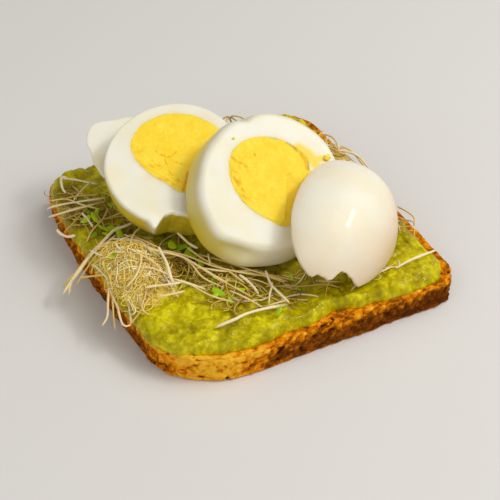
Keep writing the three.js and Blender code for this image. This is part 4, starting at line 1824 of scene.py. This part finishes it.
    def _leaves(self) -> None:
        """Seed leaves: small cupped ovals, a squashed ball bent along its length."""
        rng = self.rng
        places = [(x, y, heading, 1.35 * size, 1.2) for x, y, heading, size in self.laid_leaves]
        for tuft in self.tufts:
            for _ in range(tuft.leaves):
                angle, far = rng.uniform(0, FULL_TURN), math.sqrt(rng.uniform(0, 1))
                x = tuft.x + tuft.wide * far * math.cos(angle)
                y = tuft.y + tuft.deep * far * math.sin(angle)
                places.append((x, y, rng.uniform(0, 360), rng.uniform(1.6, 3.2), 0.0))
        skin = Skin()
        around_leaf = np.arange(12) * FULL_TURN / 12
        over = np.linspace(0, math.pi, 9)[:, None]
        for x, y, heading, size, lift in places:
            lx = 0.5 * size * np.cos(over) + 0 * around_leaf
            ly = 0.27 * size * np.sin(over) * np.cos(around_leaf)
            lz = 0.07 * size * np.sin(over) * np.sin(around_leaf) + 0.35 * lx**2 / size - 0.5 * ly**2 / size
            tilt = rng.uniform(-0.5, 0.5)
            lz = lz + tilt * lx + rng.uniform(-0.4, 0.4) * ly
            a = math.radians(heading)
            wx = x + lx * math.cos(a) - ly * math.sin(a)
            wy = y + lx * math.sin(a) + ly * math.cos(a)
            base = float(self.rest.at(np.array(x), np.array(y))) + rng.uniform(0.6, 1.8) + lift
            base = min(base, float(self.ground.egg.at(np.array(x), np.array(y))) - 1.2)
            skin.grid(stacked(wx, wy, base + lz), Pole.BOTH, tone=rng.uniform(0, 1))
        skin.piece("sprout_leaves", SeedLeaf().dress(), "sprouts")


# ---- studio


@dataclass(frozen=True)
class Lamp:
    """A rectangular light that faces the toast: degrees round it and over the floor, metres, watts."""

    name: str
    azimuth: float
    elevation: float
    distance: float
    size: Pair
    power: float
    colour: Triple

    def build(self) -> None:
        """Hangs the light."""
        light = bpy.data.lights.new(self.name, "AREA")
        light.shape = "RECTANGLE"
        light.size, light.size_y = self.size
        light.energy = self.power
        light.color = self.colour
        a, e = math.radians(self.azimuth), math.radians(self.elevation)
        away = Vector((math.cos(a) * math.cos(e), math.sin(a) * math.cos(e), math.sin(e)))
        lamp = bpy.data.objects.new(self.name, light)
        lamp.location = away * self.distance + Vector((0, 0, 0.02))
        lamp.rotation_euler = (-away).to_track_quat("-Z", "Y").to_euler()
        bpy.context.scene.collection.objects.link(lamp)


@dataclass(frozen=True)
class Studio:
    """A plain pale floor, soft light from the right, and a camera at the photo's viewing angle."""

    eye: Triple = (-168.5, -329.0, 309.5)
    look: Triple = (0.35367, 0.68057, -0.64167)
    lens: float = 105.84
    lamps: tuple[Lamp, ...] = (
        Lamp("key", -28.0, 56.0, 0.95, (0.92, 0.74), 4.75, (1.0, 0.97, 0.92)),
        Lamp("glint", -36.0, 50.0, 0.9, (0.26, 0.11), 1.9, (0.96, 0.98, 1.0)),
        Lamp("fill", -145.0, 32.0, 1.1, (0.9, 0.9), 2.6, (1.0, 0.98, 0.95)),
    )
    sky: Four = (1.0, 0.985, 0.96, 1.0)
    sky_strength: float = 0.34
    seen_strength: float = 0.72
    floor_reach: float = 20000.0

    def build(self) -> None:
        """Makes the floor, the lights and the camera."""
        self._floor()
        for lamp in self.lamps:
            lamp.build()
        self._sky()
        self._camera()

    def _floor(self) -> None:
        """A large pale sheet just under the toast."""
        far, low = self.floor_reach, -0.05
        corners = [(-far, -far, low), (far, -far, low), (far, far, low), (-far, far, low)]
        mesh = bpy.data.meshes.new("floor")
        mesh.from_pydata([tuple(c * MM for c in corner) for corner in corners], [], [(0, 1, 2, 3)])
        bench = Bench("floor_paint", specular_ior_level=0.2, emission_strength=0.46)
        colour = bench.mix(bench.noise(300.0), paint(226, 224, 220), paint(222, 220, 216))
        # far away the lamps don't reach, so the sheet glows a little there and stays even
        away = bench.number("ShaderNodeVectorMath", {"operation": "LENGTH"}, {0: bench.place})
        glow = bench.mix(away.between(0.2, 1.3), (0.0, 0.0, 0.0, 1.0), self.sky)
        bench.feed(bench.shader, {"Emission Color": glow})
        mesh.materials.append(bench.wear(colour, 0.7, None, 0.0))
        floor = bpy.data.objects.new("floor", mesh)
        bpy.context.scene.collection.objects.link(floor)

    def _sky(self) -> None:
        """An even sky that lights the toast; the camera sees it as pale as the floor past the floor's end."""
        world = bpy.data.worlds.new("studio")
        world.use_nodes = True
        tree = world.node_tree
        lit, seen = tree.nodes["Background"], tree.nodes.new("ShaderNodeBackground")
        for node, strength in ((lit, self.sky_strength), (seen, self.seen_strength)):
            node.inputs["Color"].default_value = self.sky
            node.inputs["Strength"].default_value = strength
        path, blend = tree.nodes.new("ShaderNodeLightPath"), tree.nodes.new("ShaderNodeMixShader")
        tree.links.new(path.outputs["Is Camera Ray"], blend.inputs[0])
        tree.links.new(lit.outputs["Background"], blend.inputs[1])
        tree.links.new(seen.outputs["Background"], blend.inputs[2])
        tree.links.new(blend.outputs["Shader"], tree.nodes["World Output"].inputs["Surface"])
        bpy.context.scene.world = world
        bpy.context.scene.view_settings.view_transform = "Standard"

    def _camera(self) -> None:
        """The camera, level and unshifted, framed on the toast in a square picture."""
        data = bpy.data.cameras.new("camera")
        data.lens = self.lens
        data.sensor_width = 36.0
        data.clip_start, data.clip_end = 0.01, 20.0
        camera = bpy.data.objects.new("camera", data)
        camera.location = Vector(self.eye) * MM
        camera.rotation_euler = Vector(self.look).to_track_quat("-Z", "Y").to_euler()
        bpy.context.scene.collection.objects.link(camera)
        bpy.context.scene.camera = camera


# ---- the toast

FRONT_SEAT = Seat((2.4, -12.4, 35.9), (-90, 58.9), 117.7)

EGG_PARTS: list[EggPart] = [
    EggEnd(
        "egg_end_white",
        Seat((-19.8, 29.9, 25.4), (-71, 73), 31),
        half_length=27,
        half_width=21.3,
        offset=-12,
        thick=7.7,
        flaws=[Flaw(-17, 13, -1.7), Flaw(-57, 13, -1.0), Flaw(19, 10, 1.3), Flaw(38, 9, 0.7)],
        shade={0: 0.3, 90: 0.5, 180: 0.5, 270: 0.7, 320: 0.5},
        seed=1,
    ),
    EggSlice(
        "egg_back_white",
        Seat((-15.8, 14.3, 32.2), (-73, 72.4), -60),
        half_length=26.7,
        half_width=22.6,
        offset=-2.1,
        thick=10.6,
        centre=(5.0, -0.6),
        tear=[
            (-34, -2.5), (-25.5, -2.5), (-22.3, -3), (-20.3, -5), (-19.5, -8), (-18.8, -12),
            (-16.9, -17.5), (-30, -26),
        ],
        flaws=[Flaw(-178, 3.0, -2.0)],
        soft_rim=1.1,
        shade={0: 0.3, 90: 0.5, 112: 0.9, 140: 1.3, 172: 1.2, 182: 0.5, 192: 1.3, 230: 1.0, 300: 0.3},
        shade_ends=-2.4,
        seed=2,
        yolk=YolkBall(
            along=5.0,
            across=-0.6,
            below=1.5,
            radius=17.1,
            squash=0.98,
            uneven={
                10: 0.97, 60: 0.97, 90: 1.0, 110: 1.03, 130: 0.99, 152: 0.93, 172: 0.9, 196: 1.01, 250: 0.98,
                320: 0.96,
            },
        ),
        cracks=[
            (0.3, [(0.9, 8.1), (0.0, 6.6), (0.4, 5.2), (0.1, 3.8), (1.6, 2.4), (3.4, 1.9)]),
            (0.22, [(-0.2, 4.4), (-1.7, 3.9), (-2.8, 3.0)]),
            (0.25, [(-0.9, 1.2), (-0.3, -0.4), (-0.5, -1.9)]),
            (0.3, [(-7.0, -2.0), (-7.4, -4.2)]),
            (0.25, [(-3.4, 7.6), (-4.6, 5.8), (-4.2, 4.6)]),
            (0.25, [(-5.2, 1.6), (-6.0, -0.2)]),
            (0.55, [(-6.5, 11.4), (-8.1, 8.3), (-9.6, 5.7), (-9.4, 3.7), (-9.0, 1.3)]),
            (0.6, [(-2.4, -4.4), (-6.4, -5.0), (-10.3, -5.4)]),
        ],
        frayed=150.0,
    ),
    EggSlice(
        "egg_front_white",
        FRONT_SEAT,
        half_length=27.3,
        half_width=24.1,
        offset=11.8,
        thick=9.4,
        centre=(-2.1, 1.0),
        flaws=[
            Flaw(-117, 6, 1.3),
            Flaw(-3, 9, -1.0),
            Flaw(12, 12, 0.9, -3.0, 1.9),
            Flaw(20, 12, -0.8, -6.4, 2.2),
        ],
        soft_rim=1.5,
        shade={
            0: 0.9, 10: 0.65, 22: 0.35, 45: 0.2, 60: 0.25, 180: 0.3, 262: 0.6, 280: 1.0, 300: 1.2, 340: 1.15,
        },
        shade_ends=-3.0,
        seed=3,
        yolk=YolkBall(
            along=-2.1,
            across=1.0,
            below=4.6,
            radius=16.6,
            squash=0.82,
            uneven={
                10: 1.0, 30: 1.01, 47: 1.1, 70: 1.0, 120: 0.94, 148: 0.88, 170: 1.02, 200: 1.03, 240: 0.99,
                300: 0.98, 340: 1.0,
            },
        ),
        cracks=[
            (0.5, [(-14.6, -3.9), (-15.0, -1.2), (-14.7, 1.2)]),
            (1.0, [(-14.6, 1.6), (-14.1, 3.7), (-13.3, 5.2), (-12.1, 6.6)]),
            (0.5, [(1.6, -13.5), (1.8, -11.6), (1.2, -9.5), (1.1, -7.8)]),
            (0.45, [(6.8, -8.6), (7.5, -6.0), (8.3, -3.3)]),
            (0.45, [(-4.2, -9.7), (-4.0, -8.6)]),
        ],
        fold=[(-5.8, 2.5), (-3.0, 4.8), (-0.2, 7.2), (3.0, 9.1), (6.0, 11.2)],
        frayed=-38.0,
        stains=[([(-15.8, 0.0), (-16.4, 3.4), (-15.4, 7.0)], 2.9), ([(-16.8, 6.0), (-19.2, 8.2)], 1.7)],
    ),
    EggCap(
        "egg_cap_white",
        Seat((21.2, -38.4, 35.7), (-63, 52), 104),
        half_length=26.9,
        half_width=20.3,
        offset=20.3,
        thick=12.1,
        tear=[
            (34, -7), (22.7, -6.5), (23.5, -4), (23.6, -2.6), (23.2, -0.9), (22, -0.4), (21.7, 1.4),
            (21.6, 3.4), (20.6, 4.2), (19.4, 4.2), (17.9, 4.7), (16.9, 6.3), (16.6, 8.6), (15.3, 12.4),
            (13.8, 14.4), (11.5, 15.8), (13, 26), (34, 26),
        ],
        seed=4,
        columns=480,
    ),
]

# place along and across the cut, and radius
YOLK_CRUMBS: list[Triple] = [(-19.7, 8.5, 1.1), (-3.7, -17.0, 0.45)]

# x, y, wide, deep, stems, threads, leaves, heading, spread, lift, aged
TUFTS: list[Tuft] = [
    Tuft(-43, -8, 9, 13, 44, 440, 2, 235, 70, 2.6, 0.0),
    Tuft(-47, -17, 4, 8, 16, 90, 0, 255, 45, 2.2, 0.0),
    Tuft(-30, -12, 8, 12, 10, 70, 4, 235, 50, 1.5, 0.45),
    Tuft(-20, -28, 9, 11, 9, 50, 4, 290, 45, 1.3, 0.45),
    Tuft(-6, -38, 12, 6, 6, 26, 3, 330, 45, 1.1, 0.4),
    Tuft(20, -42, 12, 3, 3, 8, 1, 10, 30, 0.8, 0.3),
    Tuft(-46, 30, 6, 12, 10, 44, 4, 60, 55, 1.2, 0.6),
    Tuft(-36, 20, 8, 12, 5, 26, 6, 60, 60, 1.0, 0.6),
    Tuft(42, 16, 6, 14, 16, 50, 3, 100, 45, 1.9, 0.15),
    Tuft(44, -24, 3, 8, 3, 10, 1, 95, 35, 1.0, 0.3),
    Tuft(20, 2, 14, 14, 14, 120, 4, 80, 60, 1.2, 0.35),
    Tuft(6, 24, 18, 8, 10, 90, 3, 20, 55, 1.1, 0.4),
    Tuft(6, 38, 28, 6, 16, 60, 5, 10, 60, 1.4, 0.4),
]

# radius, how brown, and the route of each strand
LAID_STRANDS: list[tuple[float, float, list[Triple]]] = [
    (0.55, 0.1, [(-33, 10.5, 17), (-36.5, 9.9, 17), (-40.6, 9.7, 16.9), (-44.8, 7.8, 16),
        (-50, 5.3, 14.5), (-54.2, 3.6, 12.5), (-58.3, 1.9, 10), (-63, -0.2, 6.8)]),
    (0.45, 0.3, [(-41, 7.5, 16.8), (-44.8, 5.9, 16.2), (-49.1, 5.5, 14.8), (-52.7, 4.1, 13),
        (-56.5, 2.2, 11), (-59.4, 1.2, 9), (-61.5, -1.5, 7)]),
    (0.4, 0.5, [(-38, 11.5, 17), (-44, 9, 15.6), (-50, 6.6, 13.9), (-56, 3.8, 11), (-62.6, 1.6, 7.4)]),
    (0.3, 0.6, [(-43, 4, 17), (-49, 3.6, 15), (-54, 1.5, 12.2), (-58.5, -0.8, 9.4)]),
    (0.42, 0.15, [(-52.6, 0.5, 14), (-52.1, -1.5, 15), (-51.6, -8.1, 16), (-51.2, -11.4, 15.8)]),
    (0.36, 0.6, [(-57.5, -1.6, 12), (-56.5, -2.3, 12.8), (-53.2, -6, 15), (-50.5, -8, 16)]),
    (0.42, 0.1, [(-51.2, -8, 15.6), (-51.4, -9.4, 15), (-52.2, -14.6, 13.7), (-52.4, -18.9, 12.6),
        (-53.5, -23.6, 11.7), (-53.6, -26.6, 11.2), (-51.8, -27.3, 11.6), (-50.4, -24, 12.8),
        (-49.5, -20.3, 14.3), (-49.1, -16.9, 16)]),
    (0.42, 0.2, [(-52, -12, 14.5), (-54.2, -16, 12.4), (-56.2, -19.8, 10.5), (-58.6, -21.3, 9)]),
    (0.34, 0.5, [(-50.5, -11, 15.6), (-52.6, -16, 13.2), (-54.4, -20.5, 10.6), (-55.6, -24, 8.2)]),
    (0.34, 0.6, [(-52.2, -27.4, 11.6), (-48.8, -26.7, 14), (-45.5, -24.8, 15.4), (-43.3, -23.6, 16)]),
    (0.62, 0.0, [(-33.2, -7.5, 20), (-33.7, -9.9, 20.3), (-34.2, -15.4, 20), (-35.5, -21.6, 18.8),
        (-35.4, -24.7, 17.6)]),
    (0.45, 0.15, [(-44, -21.4, 18.4), (-41.7, -22.1, 18.6), (-36.8, -23.4, 18.4), (-33, -23.4, 17.6)]),
    (0.42, 0.25, [(-41.8, -25.4, 17), (-39.7, -26.1, 17.2), (-35.2, -26.6, 17), (-33, -26.2, 16.4)]),
    (0.45, 0.1, [(-34.5, -21.6, 18), (-32.7, -23, 17.6), (-28.2, -27.1, 16.4), (-27, -28, 15.8)]),
    (0.42, 0.3, [(-36.5, -6.5, 20.6), (-35, -9.2, 20.4), (-31.3, -11.8, 19.7), (-27.9, -14.8, 18.9),
        (-25.4, -19.9, 18.3), (-22.8, -24.4, 17.2), (-19.9, -28.4, 16)]),
    (0.5, 0.0, [(-24.9, -3.2, 19.2), (-24.7, -4.7, 19.5), (-23.8, -9.8, 19.3), (-22, -12.4, 18.6)]),
    (0.4, 0.1, [(-20.4, -15.8, 18.2), (-20.6, -16.8, 18.4), (-21.8, -20.4, 18)]),
    (0.38, 0.25, [(-27, -18.8, 17.6), (-24.1, -20.5, 17.4), (-19.2, -23.7, 16.9), (-13.7, -25.9, 16.3),
        (-8.6, -27, 15.6)]),
    (0.5, 0.0, [(-15.4, -26.8, 16.2), (-15, -28.4, 16.5), (-13.9, -32.7, 16.2), (-13.8, -37, 15.6)]),
    (0.5, 0.05, [(-7, -28.4, 15.8), (-7.4, -29.8, 16.2), (-8.7, -35.4, 16.3), (-8.2, -40.6, 16.1),
        (-7.3, -44.3, 15.4)]),
    (0.36, 0.2, [(-8, -34.4, 16.4), (-8.4, -35.6, 16.2), (-10.9, -38.6, 15.8), (-13.2, -42.2, 15)]),
    (0.34, 0.3, [(-13.2, -42.4, 15.2), (-10.5, -43, 15.7), (-7.6, -43.2, 15.6)]),
    (0.55, 0.0, [(-31, -42.4, 13.8), (-29.5, -42.7, 14.4), (-25, -43.3, 15.4), (-20.8, -42.9, 15.6),
        (-14.7, -43.6, 15.7), (-8, -44.7, 15.2)]),
    (0.34, 0.3, [(-21, -31.5, 15.8), (-19.5, -34.1, 15.9), (-17, -38.7, 15.6), (-15.2, -42, 15)]),
    (0.36, 0.5, [(-25, -10, 18.6), (-22, -18, 17.8), (-18, -24, 17), (-15.5, -31, 16.2)]),
    (0.34, 0.4, [(-30, -10, 18.9), (-27, -17, 18.2), (-26, -24, 17.2), (-22, -30, 16.2)]),
    (0.5, 0.05, [(-46.2, 37.2, 14.8), (-46.4, 39.5, 15.3), (-44.7, 44.6, 15.6), (-43, 43.4, 15.8)]),
    (0.42, 0.1, [(-44.9, 44.8, 15.2), (-41.7, 41.5, 15.9), (-38, 38, 15.8), (-35.6, 35.6, 15.8)]),
    (0.38, 0.2, [(-45.6, 31.8, 15.2), (-44.5, 32.7, 15.5), (-40.9, 35.2, 15.9), (-37, 37.4, 15.9)]),
    (0.42, 0.15, [(-54.2, 34, 13), (-53, 33.6, 13.8), (-48.4, 31.2, 15.3), (-43.3, 29.2, 15.9),
        (-36, 27, 16.2)]),
    (0.42, 0.2, [(-55.2, 30.4, 12.8), (-54, 29.2, 13.8), (-50.8, 27.4, 15.2), (-46.1, 26.4, 15.8),
        (-40.5, 26, 15.8)]),
    (0.34, 0.4, [(-52, 36.6, 14), (-47.5, 33.6, 15.2), (-44.5, 28, 15.8), (-40, 22.5, 16)]),
    (0.55, 0.0, [(-55.0, 23.6, 12.6), (-54.7, 21.4, 12.4), (-53.4, 18.6, 12.6), (-51.4, 16.4, 13.9)]),
    (0.45, 0.05, [(-46.1, 23.6, 15.6), (-46, 22.8, 16), (-45.7, 17.6, 16.2), (-45.6, 15.6, 15.8)]),
    (0.34, 0.5, [(-50, 10.5, 15), (-46.5, 14, 15.8), (-41.5, 17.5, 16), (-37.5, 22, 16)]),
    (0.42, 0.15, [(-31.2, 7.4, 18.2), (-31.6, 5.6, 18.8), (-35.7, 3.7, 19), (-39.2, -0.5, 19.8),
        (-41.4, -4.6, 20.6)]),
    (0.4, 0.2, [(-43.6, 7.4, 16.2), (-42.5, 5.3, 17.2), (-39, 0.1, 19.2), (-36.9, -6.3, 20.5),
        (-35, -12.6, 20.4)]),
    (0.4, 0.3, [(-40, -9.4, 21.4), (-41.7, -13.5, 21.5), (-45.1, -17.4, 20.6), (-49.2, -18.8, 18.4)]),
    (0.38, 0.35, [(-50, -3, 16.4), (-48.5, -4.7, 17.8), (-46.2, -7.2, 19.6), (-43.6, -12.2, 21)]),
    (0.36, 0.4, [(-46.4, 1.6, 17.6), (-44.4, -5, 20), (-40, -10.6, 21.3), (-36.4, -17.8, 20)]),
    (0.36, 0.3, [(-49, -14, 17.2), (-44, -14, 20.2), (-39.4, -16.4, 20.4), (-35, -20.4, 18.8)]),
    (0.35, 0.7, [(12, 44, 14.8), (14.5, 45.8, 17.6), (17.5, 46.2, 19.2), (20, 43.5, 18.2), (21, 40, 15.6)]),
    (0.32, 0.8, [(20, 44.5, 14.8), (18.6, 46, 17.9), (19.4, 44.6, 19.9), (22.6, 43.4, 18.4),
        (24.5, 41, 15.4)]),
    (0.3, 0.6, [(15, 40, 15.5), (16, 43.8, 18.2), (18, 46.4, 18.6), (19, 48, 16.4)]),
    (0.3, 0.9, [(10, 42, 15), (14, 43.4, 16.8), (18.5, 44, 17.6), (23, 45, 16)]),
    (0.3, 0.5, [(-13.6, -24.3, 15.6), (-10.6, -28.2, 15.8), (-7.4, -31.9, 15.9), (-4.0, -35.7, 15.5)]),
    (0.28, 0.7, [(-14.7, -28.0, 15.8), (-10.9, -32.1, 16), (-7.8, -37.3, 15.8)]),
    (0.3, 0.6, [(-9.0, -25.1, 14.9), (-7.0, -29.4, 15.2), (-3.8, -33.0, 15.3), (-0.2, -36.4, 15.1)]),
    (0.3, 0.4, [(-3, -31.5, 14.7), (2, -36.5, 15), (7.5, -40.5, 15), (12, -42.4, 14.6)]),
    (0.28, 0.8, [(-6, -36, 15.2), (0, -39.5, 15.3), (6.5, -41.5, 15), (10, -44.5, 14.6)]),
    (0.26, 0.7, [(-54.0, 28.8, 13.6), (-48.4, 27.6, 15.5), (-40.8, 26.3, 15.8), (-36.8, 25.9, 15.8)]),
    (0.26, 0.9, [(-54.8, 25.0, 13.2), (-50.7, 24.5, 15), (-44.8, 24.0, 15.8)]),
    (0.26, 0.8, [(-54.2, 19.8, 13.4), (-48.7, 21.8, 15.6), (-43.1, 25.7, 16)]),
    (0.26, 0.8, [(-43.1, 38.1, 15.8), (-42.4, 32.4, 16.2), (-41.0, 28.1, 16)]),
    (0.26, 0.7, [(-48.1, 33.6, 15.6), (-43.5, 32.1, 16.2), (-37.7, 29.9, 16)]),
    (0.26, 0.9, [(-47.3, 22.8, 15.6), (-47.5, 16.2, 15.8), (-48.0, 11.4, 15.4)]),
    (0.26, 0.9, [(-42.1, 21.8, 16), (-42.2, 16.8, 16.3), (-42.4, 12.7, 15.9)]),
    (0.36, 0.4, [(-32.5, -8.0, 18.8), (-26.4, -14.3, 18.5), (-21.5, -20.8, 17.8), (-15.3, -26.3, 17),
        (-8.4, -30.7, 15.8)]),
    (0.34, 0.5, [(-22.6, -14.7, 18), (-17.1, -19.9, 17.2), (-10.8, -27.4, 16.5), (-3.0, -35.8, 15.4)]),
    (0.3, 0.5, [(-23.3, -24.5, 17), (-20.1, -30.0, 16.6), (-16.0, -37.4, 15.6)]),
    (0.3, 0.3, [(-31.2, -24.2, 17.2), (-26.9, -31.7, 16.2), (-21.6, -36.7, 15.4)]),
    (0.34, 0.4, [(-39.2, 6.0, 17.2), (-36.4, -1.1, 19.4), (-33.3, -7.6, 19.8)]),
    (0.32, 0.3, [(-45.9, 2.2, 17), (-41.2, 1.4, 18.8), (-37.2, -3.1, 20.4), (-36.6, -10.6, 20.8)]),
    (0.48, 0.05, [(30, -44.5, 14.3), (34, -44.3, 15.2), (39, -44, 15.4), (46, -43, 14.5)]),
    (0.4, 0.25, [(47, -18, 14), (48, -22, 14.4), (48.5, -26, 14.3), (46.5, -29, 13.8)]),
    (0.4, 0.3, [(45, 27, 15), (46, 23, 16), (45, 18, 17), (43, 13, 17.5)]),
    (0.42, 0.1, [(42, 14, 17.5), (46, 11.5, 17), (48.5, 9, 15.7), (49, 4, 14.6), (48.5, -2, 14)]),
    (0.35, 0.4, [(46, 17, 16), (48, 13, 15.6), (48, 5, 15)]),
]

# x, y, heading, length
LAID_LEAVES: list[Four] = [
    (-46.4, 19.6, 30, 3.4), (-43.2, 19.3, 100, 3.0), (-46.6, 12.2, 60, 2.8), (-42.2, 13.9, 150, 3.6),
    (-41.3, 12.1, 20, 3.0), (-30.3, 5.0, 10, 3.6), (-27.1, 4.7, 160, 4.2), (-25.0, 4.7, 30, 3.4),
    (-27.2, -4.6, 80, 4.0), (-25.2, -5.7, 130, 4.2), (-24.2, -9.5, 50, 3.6), (-23.4, -11.2, 110, 3.0),
    (-21.5, -13.5, 70, 2.8), (-46.9, -4.8, 0, 2.6), (-25.6, -31.0, 40, 3.0), (-24.2, -30.5, 120, 3.2),
    (-39.5, 8.5, 90, 3.0), (-42.9, 10.2, 170, 2.6), (-22.8, -16.1, 60, 2.8), (-12.5, -47.0, 30, 2.4),
]


def main() -> None:
    """Builds every piece in order, then the studio."""
    logging.basicConfig(level=logging.INFO, format="%(name)s %(message)s")
    outline = Outline(width=102.0, depth=108.8, bow=3.0, bow_at=15.0)
    BreadSlice(outline).build()
    mash = AvocadoMash(outline)
    mash.build()
    for part in EGG_PARTS:
        part.build()
    YolkCrumbs(FRONT_SEAT, YOLK_CRUMBS).build()
    Sprouts(Ground(mash), TUFTS, LAID_STRANDS, LAID_LEAVES).build()
    Studio().build()


if __name__ == "__main__":
    main()
